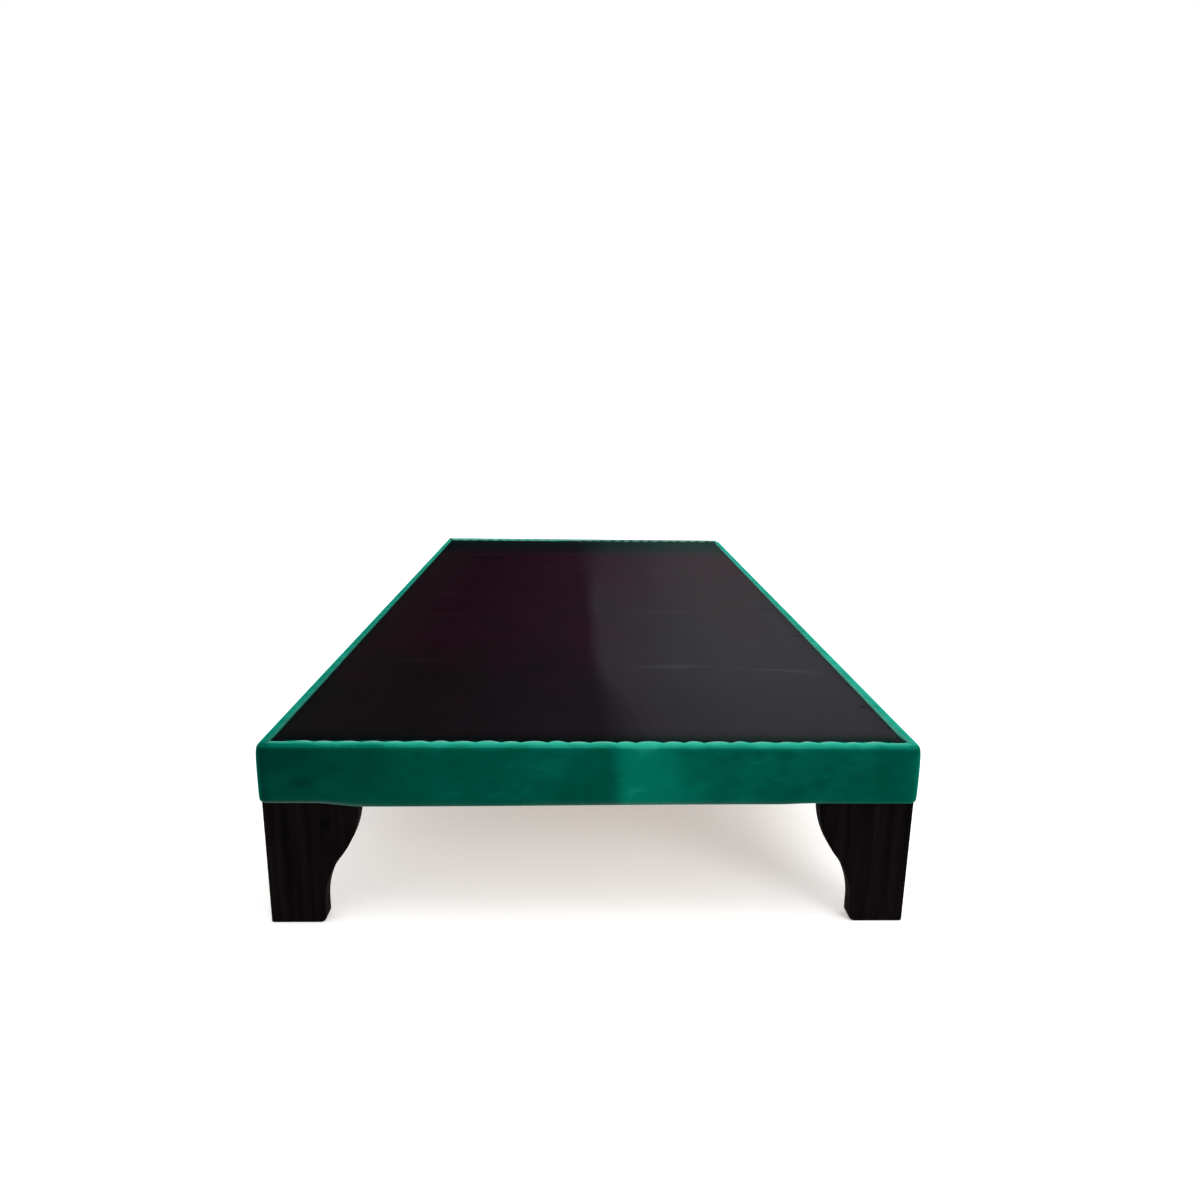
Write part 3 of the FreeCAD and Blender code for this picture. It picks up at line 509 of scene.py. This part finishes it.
def at_staples(X, Y):
    """The cloth's dips under the staple crowns, its swelling between them, and creases inwards."""
    in_x, in_y = CLOTH_X - np.abs(X), CLOTH_Y - np.abs(Y)
    z = np.zeros(X.shape)
    for side, inset, along, half in (("front", in_y, X, Y < 0), ("rear", in_y, X, Y > 0),
                                     ("left", in_x, Y, X < 0), ("right", in_x, Y, X > 0)):
        row = TOP_STAPLES[side]
        nearest = np.abs(along[..., None] - row).min(axis=-1)
        staple_inset = CLOTH_Y - TOP_ROW_Y if side in ENDS else CLOTH_X - TOP_ROW_X
        dip = np.exp(-(np.maximum(nearest - CROWN, 0) / (3.2 * MM)) ** 2)
        dip = dip * np.exp(-((inset - staple_inset) / (3.0 * MM)) ** 2)
        z -= 0.62 * MM * dip * half
        z += swell(side, along, lip_of(side) + inset) * half
        puffed = between(row, along) * each_gap(row, along, 3 + SIDES.index(side))
        crease = (puffed - 0.55) * np.exp(-inset / (34 * MM)) * smooth(6 * MM, 14 * MM, inset)
        z += 0.5 * MM * crease * half
    return z


def cloth_height(X, Y, flat):
    """The height of the cloth's upper face over each place of the flat grid."""
    in_x, in_y = CLOTH_X - np.abs(X), CLOTH_Y - np.abs(Y)
    edge = np.minimum(in_x, in_y)
    # Two layers over the hem, one inside it, then down to the slats.
    z = np.full(X.shape, CLOTH_TOP) - 0.05 * MM
    z -= 0.4 * MM * smooth(HEM - 1.5 * MM, HEM + 1.5 * MM, edge)
    z -= sag_between_slats(Y) * smooth(20 * MM, 90 * MM, in_x)
    z += at_staples(X, Y)
    for dent_x, dent_y in PULLS:
        z -= 0.5 * MM * np.exp(-((X - dent_x) / (9 * MM)) ** 2 - ((Y - dent_y) / (5 * MM)) ** 2)
    inland = smooth(8 * MM, 60 * MM, edge)
    z += 0.16 * MM * wobble(flat * (1, 0.8, 1), 0.16, 5).reshape(X.shape) * inland
    z += 0.04 * MM * wobble(flat * (1, 0.5, 1), 0.03, 6).reshape(X.shape) * inland
    z += ridges(X, Y) * MM * inland
    # Faint lengthwise folds near the foot end, where the cloth was pulled towards the staples.
    folds = np.exp(-in_y / 0.16) * (Y < 0) * np.exp(-(X / 0.3) ** 2)
    z += 0.35 * MM * folds * np.sin(X / (17 * MM) + 2 * np.sin(Y / 0.05 + X / 0.07))
    # It rests on the slats and never sinks into them.
    on_slat = np.zeros(X.shape, bool)
    for start, end in slat_spans():
        on_slat |= (Y > start) & (Y < end)
    return np.where(on_slat, np.maximum(z, SLAT_TOP + 0.06 * MM), z)


def hem_rings(base, outward):
    """The boundary's points moved out and down round the fold, then back in under the cloth."""
    for out, down in HEM_FOLD:
        yield base + np.column_stack([outward * out, np.full(len(base), down)]) * MM
    for out in HEM_UNDER:
        ring = base.copy()
        ring[:, :2] += outward * out * MM
        lowered = ring[:, 2] - FOLD_DROP
        ring[:, 2] = lowered + (CLOTH_TOP - HEM_DROP - lowered) * min(1.0, -out / 6.0)
        yield ring


def make_cloth():
    xs, ys = (edge_spaced(half, 2.6 * MM, 4.2 * MM, 26 * MM) for half in (CLOTH_X, CLOTH_Y))
    X, Y = np.meshgrid(xs, ys, indexing="ij")
    in_x, in_y = CLOTH_X - np.abs(X), CLOTH_Y - np.abs(Y)
    flat = np.stack([X.ravel(), Y.ravel(), np.zeros(X.size)], axis=1)

    pull_x = np.where(X > 0, edge_pull("right", Y), edge_pull("left", Y))
    pull_y = np.where(Y > 0, edge_pull("rear", X), edge_pull("front", X))
    ease_x = smooth(*CORNER_EASE, in_y) * np.exp(-in_x / (9 * MM))
    ease_y = smooth(*CORNER_EASE, in_x) * np.exp(-in_y / (9 * MM))
    pulled_x = X - np.sign(X) * pull_x * ease_x
    pulled_y = Y - np.sign(Y) * pull_y * ease_y
    z = cloth_height(X, Y, flat)

    nx, ny = X.shape
    points = [np.stack([pulled_x.ravel(), pulled_y.ravel(), z.ravel()], axis=1)]
    faces = [(i * ny + j, (i + 1) * ny + j, (i + 1) * ny + j + 1, i * ny + j + 1)
             for i in range(nx - 1) for j in range(ny - 1)]
    # The fold and the hem hang off the boundary, ring by ring.
    rim = ([i * ny for i in range(nx)] + [(nx - 1) * ny + j for j in range(1, ny)]
           + [i * ny + ny - 1 for i in range(nx - 2, -1, -1)] + [j for j in range(ny - 2, 0, -1)])
    grid = flat[rim]
    outward = np.stack([np.sign(grid[:, 0]) * (np.abs(grid[:, 0]) > CLOTH_X - 1e-9),
                        np.sign(grid[:, 1]) * (np.abs(grid[:, 1]) > CLOTH_Y - 1e-9)], axis=1)
    previous = rim
    total, n = nx * ny, len(rim)
    for ring in hem_rings(points[0][rim], outward):
        current = list(range(total, total + n))
        faces += [(previous[k], current[k], current[(k + 1) % n], previous[(k + 1) % n])
                  for k in range(n)]
        points.append(ring)
        previous, total = current, total + n
    return new_object("deck_cloth_sheet", np.concatenate(points), faces)


# ---- Materials -------------------------------------------------------------------------------------

SHADER_INPUTS = {
    "base": "Base Color", "rough": "Roughness", "metal": "Metallic", "normal": "Normal",
    "specular": "Specular IOR Level", "sheen": "Sheen Weight", "sheen_rough": "Sheen Roughness",
    "sheen_tint": "Sheen Tint", "glow": "Emission Strength", "glow_tint": "Emission Color",
}


class Tree:
    """A material's node tree, built a node at a time."""

    def __init__(self, name):
        self.material = bpy.data.materials.new(name)
        self.material.use_nodes = True
        self.tree = self.material.node_tree
        self.tree.nodes.clear()

    def add(self, kind, inputs=(), **settings):
        made = self.tree.nodes.new(kind)
        for key, value in settings.items():
            setattr(made, key, value)
        for key, value in dict(inputs).items():
            self.feed(made.inputs[key], value)
        return made

    def feed(self, socket, value):
        if isinstance(value, bpy.types.NodeSocket):
            self.tree.links.new(value, socket)
        else:
            socket.default_value = value

    def math(self, operation, a, b=0.0, c=0.0):
        made = self.add("ShaderNodeMath", operation=operation)
        for socket, value in zip(made.inputs, (a, b, c)):
            self.feed(socket, value)
        return made.outputs[0]

    def scaled(self, vector, scale):
        return self.add("ShaderNodeMapping", {"Vector": vector, "Scale": scale}).outputs[0]

    def split(self, vector, axis):
        return self.add("ShaderNodeSeparateXYZ", {"Vector": vector}).outputs[axis]

    def noise(self, vector, scale, detail=2.0, rough=0.5, distortion=0.0):
        return self.add("ShaderNodeTexNoise", {
            "Vector": vector, "Scale": scale, "Detail": detail, "Roughness": rough,
            "Distortion": distortion}).outputs["Fac"]

    def ramp(self, factor, *stops):
        """Maps a value through (position, colour or grey) stops."""
        made = self.add("ShaderNodeValToRGB", {"Fac": factor})
        elements = made.color_ramp.elements
        while len(elements) < len(stops):
            elements.new(0.5)
        for element, (position, colour) in zip(elements, stops):
            element.position = position
            grey = isinstance(colour, (int, float))
            element.color = (colour,) * 3 + (1,) if grey else tuple(colour) + (1,)
        return made.outputs["Color"]

    def mix(self, factor, a, b, blend="MIX"):
        made = self.add("ShaderNodeMix", data_type="RGBA", blend_type=blend)
        for socket, value in zip((made.inputs[0], made.inputs[6], made.inputs[7]), (factor, a, b)):
            if isinstance(value, tuple) and len(value) == 3:
                value = value + (1,)
            self.feed(socket, value)
        return made.outputs[2]

    def bump(self, height, strength, distance, normal=None):
        inputs = {"Height": height, "Strength": strength, "Distance": distance}
        if normal is not None:
            inputs["Normal"] = normal
        return self.add("ShaderNodeBump", inputs).outputs[0]

    def attribute(self, name):
        return self.add("ShaderNodeAttribute", attribute_name=name).outputs["Fac"]

    def place(self):
        return self.add("ShaderNodeTexCoord").outputs["Object"]

    def finish(self, **inputs):
        shader = self.add("ShaderNodeBsdfPrincipled")
        for key, value in inputs.items():
            if isinstance(value, tuple) and len(value) == 3:
                value = value + (1,)
            self.feed(shader.inputs[SHADER_INPUTS[key]], value)
        self.add("ShaderNodeOutputMaterial", {"Surface": shader.outputs[0]})
        return self.material


def velvet_material():
    """Green pile, dark to bright with the lie of its pile and with painted light, shade and sheen;
    pale beside the cloth from crushing and a painted highlight, greyer along the bottom fold with a
    painted highlight.
    """
    t = Tree("green_velvet")
    p = t.place()
    nap_and_light = t.attribute("nap_and_light")
    crushed_sheen = t.attribute("crushed_sheen")
    blotch = t.noise(t.scaled(p, (1, 1, 1.6)), 9, 3, 0.55)
    marks = t.noise(t.scaled(p, (1, 1, 2.2)), 38, 3, 0.6, 0.6)
    tone = t.math("MULTIPLY_ADD", blotch, 0.22, t.math("MULTIPLY", marks, 0.16))
    # The pile's random tone with its painted light, shade and sheen; the ramp's brightest stop is the
    # painted sheen on the lips.
    tone = t.math("ADD", tone, t.math("SUBTRACT", nap_and_light, 0.19))
    colour = t.ramp(tone, (0.0, (0.0, 0.006, 0.004)), (0.25, (0.0, 0.020, 0.0125)),
                    (0.50, (0.0001, 0.044, 0.028)), (0.75, (0.0004, 0.095, 0.062)),
                    (1.0, (0.018, 0.30, 0.205)))
    # Pale where the pile is crushed beside the cloth, with a painted highlight.
    colour = t.mix(crushed_sheen, colour, (0.200, 0.350, 0.320))
    # Greyer at the bottom fold: the backing, with a painted highlight.
    colour = t.mix(t.attribute("fold"), colour, (0.060, 0.075, 0.076))
    fibre = t.noise(p, 1400, 2, 0.6)
    colour = t.mix(0.35, colour, t.ramp(fibre, (0.25, 0.45), (0.75, 1.0)), "MULTIPLY")
    normal = t.bump(marks, 0.25, 0.0012)
    normal = t.bump(fibre, 0.35, 0.0003, normal)
    return t.finish(base=colour, rough=0.9, specular=0.0, sheen=0.5, sheen_rough=0.4,
                    sheen_tint=(0.01, 0.62, 0.45), normal=normal)


THREADS = 2600  # radians per metre: an embossed thread every 2.4 mm


def cloth_material():
    """Black spun-bonded cloth: crossed thread emboss, random fibres, painted shade in the dents and
    painted highlights along the ridges.

    Painted light parts the cloth at the roll's centre fold: the left half is painted black as in
    shade, with a painted maroon sheen towards the rear, and the right half painted grey as lit. The
    rear end has a painted green reflection of the velvet beside it, and the rim a painted
    green-tinted shade beside the lips.
    """
    t = Tree("black_cloth")
    p = t.place()
    mesh = t.math("MULTIPLY", t.math("SINE", t.math("MULTIPLY", t.split(p, 0), THREADS)),
                  t.math("SINE", t.math("MULTIPLY", t.split(p, 1), THREADS)))
    fibre = t.noise(t.scaled(p, (1, 0.4, 1)), 520, 4, 0.7, 0.5)
    cloud = t.noise(p, 5, 3, 0.6)
    worn = t.noise(t.scaled(p, (1, 0.5, 1)), 26, 4, 0.65)
    # Painted light: the shaded left half and the lit right half, and how far across the shaded half.
    half, middle = t.attribute("half"), t.attribute("middle")
    # Painted sheen towards the rear, patchy: maroon on the shaded half, purplish grey on the lit half.
    rear_sheen = t.math("ADD", t.math("MULTIPLY", t.split(p, 1), 0.55), t.math("MULTIPLY", cloud, 0.8))
    dark_front = t.ramp(middle, (0.0, (0.0064, 0.0056, 0.0058)), (0.5, (0.0060, 0.0038, 0.0048)),
                        (1.0, (0.0084, 0.0052, 0.0078)))
    dark_back = t.ramp(middle, (0.0, (0.0125, 0.0066, 0.0088)), (0.4, (0.0130, 0.0018, 0.0062)),
                       (1.0, (0.0180, 0.0038, 0.0100)))
    dark = t.mix(t.ramp(rear_sheen, (0.02, 0.0), (0.36, 1.0)), dark_front, dark_back)
    light = t.mix(t.ramp(rear_sheen, (0.20, 0.0), (0.60, 1.0)), (0.0275, 0.0265, 0.0292),
                  (0.0310, 0.0205, 0.0262))
    # Painted reflection of the green velvet at the rear end, stronger on the lit half.
    green = t.mix(half, (0.0037, 0.0062, 0.0080), (0.0050, 0.0270, 0.0230))
    colour = t.mix(t.attribute("rear"), t.mix(half, dark, light), green)
    # Painted green-tinted shade along the rim beside the lips.
    shaded = t.mix(half, (0.0005, 0.0036, 0.0034), (0.0010, 0.0150, 0.0130))
    colour = t.mix(t.math("MULTIPLY", t.attribute("rim"), 0.92), colour, shaded)
    # Painted highlights along the ridges, stronger on the lit half.
    paler = t.math("MULTIPLY", t.attribute("ridge"), t.math("MULTIPLY_ADD", half, 0.40, 0.16))
    colour = t.mix(paler, colour, (0.0600, 0.0570, 0.0600))
    # Painted shade in the dents.
    colour = t.mix(t.math("MULTIPLY", t.attribute("dent"), 0.75), colour, (0.0012,) * 3)
    colour = t.mix(0.3, colour, t.ramp(worn, (0.3, 0.6), (0.75, 1.0)), "MULTIPLY")
    rough = t.math("MULTIPLY_ADD", worn, 0.16, 0.46)
    normal = t.bump(worn, 0.12, 0.002)
    normal = t.bump(fibre, 0.30, 0.00025, normal)
    normal = t.bump(mesh, 0.25, 0.00012, normal)
    return t.finish(base=colour, rough=rough, specular=0.03, normal=normal)


def pine(name, grain_axis, dark, light, ring_dark, gloss, knot_tone, shine, streaky=0.65, contrast=1.0,
         knot_at=None):
    """Flat-sawn pine: growth rings cut at a slant, knots, pores and long fibres along the grain axis.

    Every board is cut from its own part of the wood. Knots lie at random, and one more may be placed.
    """
    t = Tree(name)
    lucky = t.add("ShaderNodeObjectInfo").outputs["Random"]
    shifts = {i: t.math("MULTIPLY", lucky, far) for i, far in enumerate((3.1, 7.7, 5.3))}
    own = t.add("ShaderNodeCombineXYZ", shifts).outputs[0]
    moved = t.add("ShaderNodeVectorMath", {0: t.place(), 1: own}, operation="ADD").outputs[0]
    long, a, b = (t.split(moved, axis) for axis in ((0, 1, 2), (1, 0, 2), (2, 0, 1))[grain_axis])
    p = t.add("ShaderNodeCombineXYZ", {0: a, 1: b, 2: long}).outputs[0]
    # Knots: rare round cells that push the grain aside.
    cell = t.add("ShaderNodeTexVoronoi", {"Vector": t.scaled(p, (1, 1, 0.32)), "Scale": 7.0,
                                          "Randomness": 1.0}, feature="F1").outputs["Distance"]
    if knot_at:
        away = t.add("ShaderNodeVectorMath", {0: t.place(), 1: knot_at}, operation="DISTANCE")
        cell = t.math("MINIMUM", cell, t.math("MULTIPLY", away.outputs["Value"], 9.0))
    knot = t.ramp(cell, (0.03, 1.0), (0.11, 0.0))
    push = t.ramp(cell, (0.0, 1.0), (0.42, 0.0))
    bend = t.noise(t.scaled(p, (1, 1, 0.18)), 6, 3, 0.5)
    slope = t.math("MULTIPLY_ADD", long, 0.04, t.math("MULTIPLY", bend, 0.075))
    radius = t.math("SQRT", t.math("ADD", t.math("POWER", t.math("ADD", a, slope), 2.0),
                                   t.math("POWER", t.math("ADD", b, 0.11), 2.0)))
    radius = t.math("MULTIPLY_ADD", push, 0.02, radius)
    uneven = t.noise(t.scaled(p, (1, 1, 0.06)), 24, 2, 0.5)
    ring = t.math("FRACT", t.math("MULTIPLY_ADD", radius, 170, t.math("MULTIPLY", uneven, 2.6)))
    late = t.ramp(ring, (0.0, 0.0), (0.55, 0.25), (0.86, 1.0), (1.0, 0.0))
    fibre = t.noise(t.scaled(p, (1, 1, 0.018)), 900, 3, 0.6)
    streak = t.noise(t.scaled(p, (1, 1, 0.05)), 95, 2, 0.5)
    colour = t.mix(t.math("MULTIPLY", late, contrast), light, ring_dark)
    colour = t.mix(t.ramp(streak, (0.35, 0.0), (0.7, streaky)), colour, dark)
    colour = t.mix(t.ramp(fibre, (0.45, 0.0), (0.75, 0.45)), colour, dark)
    colour = t.mix(knot, colour, knot_tone)
    rough = t.math("MULTIPLY_ADD", fibre, 0.25, gloss)
    rough = t.math("MULTIPLY_ADD", late, -0.08, rough)
    normal = t.bump(late, 0.25, 0.0006)
    normal = t.bump(fibre, 0.35, 0.0004, normal)
    return t.finish(base=colour, rough=rough, specular=shine, normal=normal)


def zinc_material():
    t = Tree("zinc")
    p = t.place()
    spangle = t.add("ShaderNodeTexVoronoi", {"Vector": p, "Scale": 900.0}).outputs["Color"]
    tint = t.mix(0.25, (0.62, 0.62, 0.60), t.ramp(spangle, (0.0, 0.35), (1.0, 0.8)))
    scratch = t.noise(t.scaled(p, (1, 1, 0.1)), 1600, 2, 0.6)
    dull = t.noise(p, 140, 3, 0.6)
    rough = t.math("MULTIPLY_ADD", dull, 0.25, 0.22)
    return t.finish(base=tint, metal=1.0, rough=rough, normal=t.bump(scratch, 0.2, 0.0001))


def black_steel_material():
    t = Tree("black_steel")
    p = t.place()
    # Rubbed spots show paler steel.
    paler = t.noise(p, 700, 3, 0.6)
    colour = t.mix(t.ramp(paler, (0.55, 0.0), (0.75, 0.5)), (0.012, 0.012, 0.013), (0.05, 0.05, 0.05))
    return t.finish(base=colour, metal=0.6, rough=0.5, normal=t.bump(paler, 0.2, 0.0001))


def foam_material():
    t = Tree("foam")
    p = t.place()
    cells = t.add("ShaderNodeTexVoronoi", {"Vector": p, "Scale": 1100.0}).outputs["Distance"]
    patch = t.noise(p, 12, 3, 0.6)
    colour = t.mix(patch, (0.78, 0.72, 0.50), (0.86, 0.80, 0.62))
    colour = t.mix(0.4, colour, t.ramp(cells, (0.1, 0.55), (0.5, 1.0)), "MULTIPLY")
    return t.finish(base=colour, rough=0.95, specular=0.1, normal=t.bump(cells, 0.5, 0.0005))


def floor_material():
    t = Tree("floor")
    p = t.place()
    grain = t.noise(p, 35, 4, 0.6)
    colour = t.mix(t.math("MULTIPLY", grain, 0.3), (0.80, 0.80, 0.80), (0.77, 0.77, 0.77))
    return t.finish(base=colour, rough=0.8, specular=0.1, glow=0.32, glow_tint=(1.0, 1.0, 1.0),
                    normal=t.bump(grain, 0.03, 0.001))


def wear(obj, material):
    """Gives an object its only material."""
    obj.data.materials.clear()
    obj.data.materials.append(material)


# ---- The pieces ------------------------------------------------------------------------------------

# Thumb marks and smudges on the foot end: place across, height up the band, half width, half height,
# depth.
MARKS = [
    (-0.425, 0.036, 0.016, 0.008, 0.11), (-0.462, 0.060, 0.022, 0.012, 0.08),
    (-0.247, 0.080, 0.010, 0.006, 0.10), (-0.310, 0.050, 0.030, 0.025, 0.05),
    (0.315, 0.022, 0.014, 0.006, 0.11), (0.350, 0.030, 0.008, 0.009, 0.10),
    (0.150, 0.081, 0.012, 0.005, 0.09), (0.262, 0.081, 0.012, 0.005, 0.08),
    (0.300, 0.080, 0.014, 0.006, 0.10), (0.450, 0.050, 0.020, 0.030, 0.06),
]


def nap_and_light_field(points):
    """The pile's tone, 0 dark to 1 bright: the lie of its pile at random and its marks, with painted
    light and shade on the foot end, painted shade at a corner and edge, and painted sheen on the top.
    """
    x, y, z = points.T
    front = smooth(-HALF_Y + 26 * MM, -HALF_Y + 16 * MM, y)
    top = smooth(TOP - 5 * MM, TOP - 1.5 * MM, z)
    nap_and_light = np.full(len(points), 0.42)
    lean = x + 0.12 * (z - BOTTOM)
    # Painted light on the foot end: a painted bright streak right of the middle, painted shade towards
    # the left end and a painted lift right of the middle, weaker on the top.
    streak = smooth(0.03, 0.06, lean) * smooth(0.2, 0.09, lean)
    shade = 0.22 * streak + 0.15 * smooth(-0.5, -0.2, x) + 0.06 * smooth(0.0, 0.08, x) - 0.1
    nap_and_light += front * (shade * (1 - 0.6 * top) + 0.035 * top)
    nap_and_light += 0.06 * wobble(points * (1, 1, 0.5), 0.16, 8) + 0.05 * wobble(points, 0.045, 9)
    for mark_x, height, wide, tall, depth in MARKS:
        mark = np.exp(-((lean - mark_x) / wide) ** 2 - ((z - BOTTOM - height) / tall) ** 2)
        nap_and_light -= depth * front * mark
    # Painted shade round the left corner and along the front's top edge.
    nap_and_light -= 0.16 * smooth(HALF_X - 22 * MM, HALF_X - 2 * MM, -x) * (y < -HALF_Y + 20 * MM) * (1 - top)
    nap_and_light -= 0.13 * smooth(14 * MM, 1 * MM, y + HALF_Y) * top
    # Painted sheen makes the top bright, less so on the sides and where the lip lies lower; painted
    # shade darkens where the rear lip turns down to the cloth.
    side = smooth(HALF_X - 24 * MM, HALF_X - 18 * MM, np.abs(x)) * (np.abs(y) < HALF_Y - 3 * MM)
    side = side * np.where(x > 0, 0.35, 1.0)
    crest = smooth(TOP + 2.6 * MM, TOP - 1 * MM, z)
    turned = 22.0 - 14.0 * smooth(-0.35, 0.3, x)
    inner = smooth(-turned * MM, (-turned - 3) * MM, y - HALF_Y) * (y > HALF_Y - 30 * MM)
    inner = inner * smooth(HALF_X - 20 * MM, HALF_X - 26 * MM, np.abs(x))
    return nap_and_light + top * (0.52 - 0.16 * side - 0.08 * crest - 0.55 * inner)


def lit_half_field(x, y):
    """Painted light on the deck cloth: 0 on its shaded left half, 1 on its lit right half, lit less
    just right of the middle and near the foot end; painted shade streaks fan out along folds from the
    foot end's middle.
    """
    front, back = smooth(-0.5, -0.92, y), smooth(0.5, 0.9, y)
    fold = 0.012 + 0.036 * smooth(-0.45, -0.9, y) + 0.010 * back
    fold += 0.005 * wobble(np.stack([0 * y, y, 0 * y], axis=1), 0.2, 12)
    wide = 0.018 + 0.026 * front + 0.045 * smooth(0.0, 0.8, y)
    past = smooth(-1, 1, (x - fold) / wide)
    fan = (x - fold - 0.02) / (0.55 + 0.45 * (y + 1.2))
    streaks = 0.5 + 0.5 * np.sin(fan * 210 + 1.5 * np.sin(y * 14))
    past -= 0.30 * streaks * np.exp(-((fan / 0.045) ** 2)) * smooth(-0.6, -0.85, y) * past
    return past * (0.66 + 0.34 * smooth(0.0, 0.36, x)) * (1 - 0.22 * smooth(-0.5, -0.88, y))


velvet = make_velvet()
# The pile's random tone with its painted light, shade and sheen.
paint(velvet, "nap_and_light", nap_and_light_field(points_of(velvet)))
wear(velvet, velvet_material())
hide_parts(*[f"velvet_{side}" for side in SIDES])
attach(velvet, "root")

foam = make_foam()
wear(foam, foam_material())
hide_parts(*[f"foam_{side}" for side in SIDES])
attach(foam, "root")

cloth = make_cloth()
deck = points_of(cloth)
# Painted light on the deck: its shaded left half and lit right half.
paint(cloth, "half", lit_half_field(*deck.T[:2]))
# Painted shade along the rim beside the lips, at the foot end and the sides.
front_rim_shade = np.exp(-((deck[:, 1] + CLOTH_Y) / (27 * MM)) ** 2)
side_rim_shade = 0.8 * np.exp(-(CLOTH_X - np.abs(deck[:, 0])) / (7 * MM))
paint(cloth, "rim", np.maximum(front_rim_shade, side_rim_shade))
# Painted green reflection of the velvet towards the rear end.
paint(cloth, "rear", smooth(CLOTH_Y - 0.34, CLOTH_Y - 0.08, deck[:, 1]))
# How far across the shaded left half, for the tone of its painted shade.
paint(cloth, "middle", np.clip((deck[:, 0] + 0.5) / 0.45, 0, 1))
# The ridges' heights, which carry their painted highlights.
paint(cloth, "ridge", ridges(deck[:, 0], deck[:, 1]))
# Painted shade in the dents beside the right side's staples.
dents = [((deck[:, 0] - x) / (7 * MM)) ** 2 + ((deck[:, 1] - y) / (4 * MM)) ** 2 for x, y in PULLS]
paint(cloth, "dent", np.exp(-np.min(dents, axis=0)))
wear(cloth, cloth_material())
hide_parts("deck_cloth")
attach(cloth, "root")

PINE = {"dark": (0.40, 0.24, 0.11), "light": (0.66, 0.47, 0.27), "ring_dark": (0.46, 0.26, 0.11),
        "gloss": 0.5, "knot_tone": (0.13, 0.055, 0.025), "shine": 0.35}
STAIN = {"dark": (0.0008, 0.0004, 0.0005), "light": (0.0040, 0.0024, 0.0027),
         "ring_dark": (0.0021, 0.0013, 0.0014), "gloss": 0.55, "knot_tone": (0.0007, 0.0005, 0.0005),
         "shine": 0.015}
pine_along = [pine(f"raw_pine_{axis}", i, **PINE) for i, axis in enumerate("xyz")]
KNOT = (-0.403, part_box("leg_front_left")[0].y, 0.171)  # on the front left foot's face
stained = pine("stained_pine", 2, streaky=1.0, contrast=0.5, knot_at=KNOT, **STAIN)
zinc = zinc_material()
black_steel = black_steel_material()


def grain_of(name):
    """The direction a wooden node's grain runs: its longest side, upright for legs and blocks."""
    if name.startswith("corner_block"):
        return 2
    low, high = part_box(name)
    return int(np.argmax(high - low))


SLOT_OF = {entry["node"]: entry["material_slot"] for entry in frame["record"]["subparts"]}
for name, node in nodes.items():
    if name == "top_staples":
        wear(node, black_steel)
    elif SLOT_OF[name] == "zinc":
        wear(node, zinc)
    elif SLOT_OF[name] == "stained_pine":
        wear(node, stained)
    elif SLOT_OF[name] == "raw_pine":
        wear(node, pine_along[grain_of(name)])

# ---- Stage, light and camera -----------------------------------------------------------------------

FLOOR = 40.0  # half its size
floor_corners = [(x * FLOOR, y * FLOOR, 0) for x, y in ((-1, -1), (1, -1), (1, 1), (-1, 1))]
floor = new_object("floor", floor_corners, [(0, 1, 2, 3)], smooth_shaded=False)
wear(floor, floor_material())

world = bpy.data.worlds.new("studio")
bpy.context.scene.world = world
world.use_nodes = True
sky = world.node_tree
sky.nodes["Background"].inputs["Color"].default_value = (1.0, 1.0, 1.0, 1)
sky.nodes["Background"].inputs["Strength"].default_value = 1.0
world.cycles_visibility.glossy = False
bpy.context.scene.view_settings.view_transform = "Standard"


def new_light(name, kind, power, direction):
    """A new light in the scene, pointing that way."""
    data = bpy.data.lights.new(name, kind)
    data.energy = power
    light = bpy.data.objects.new(name, data)
    bpy.context.scene.collection.objects.link(light)
    light.rotation_mode = "QUATERNION"
    light.rotation_quaternion = Vector(direction).to_track_quat("-Z", "Y")
    return light


def sun_light(name, direction, power, softness):
    light = new_light(name, "SUN", power, direction)
    light.data.angle = math.radians(softness)


def area_light(name, place, aim, width, height, power):
    light = new_light(name, "AREA", power, Vector(aim) - Vector(place))
    light.data.shape = "RECTANGLE"
    light.data.size, light.data.size_y = width, height
    light.location = place
    light.visible_camera = False


sun_light("overhead", (-0.25, -0.1, -1.0), 1.6, 60)
area_light("window", (1.5, 4.6, 1.5), (0.5, 0.0, 0.3), 1.8, 1.6, 6)
area_light("front_fill", (2.4, -3.6, 1.6), (0.2, -0.9, 0.2), 1.6, 1.6, 60)

# The camera fitted to the photograph: place in metres, turns in radians, lens in millimetres.
CAMERA_AT = (-0.02348, -2.12191, 0.79935)
YAW, PITCH, ROLL = 0.02772, 0.23223, 0.01381
LENS, SENSOR = 25.289, 36.0

camera_data = bpy.data.cameras.new("camera")
camera_data.lens = LENS
camera_data.sensor_width = SENSOR
camera = bpy.data.objects.new("camera", camera_data)
bpy.context.scene.collection.objects.link(camera)
bpy.context.scene.camera = camera
right = Vector((math.cos(YAW), -math.sin(YAW), 0))
level = Vector((math.sin(YAW), math.cos(YAW), 0))
ahead = level * math.cos(PITCH) - Vector((0, 0, math.sin(PITCH)))
upward = level * math.sin(PITCH) + Vector((0, 0, math.cos(PITCH)))
rolled_right = right * math.cos(ROLL) + upward * math.sin(ROLL)
rolled_up = upward * math.cos(ROLL) - right * math.sin(ROLL)
turn = Matrix((rolled_right, rolled_up, -ahead)).transposed()
camera.matrix_world = Matrix.Translation(CAMERA_AT) @ turn.to_4x4()
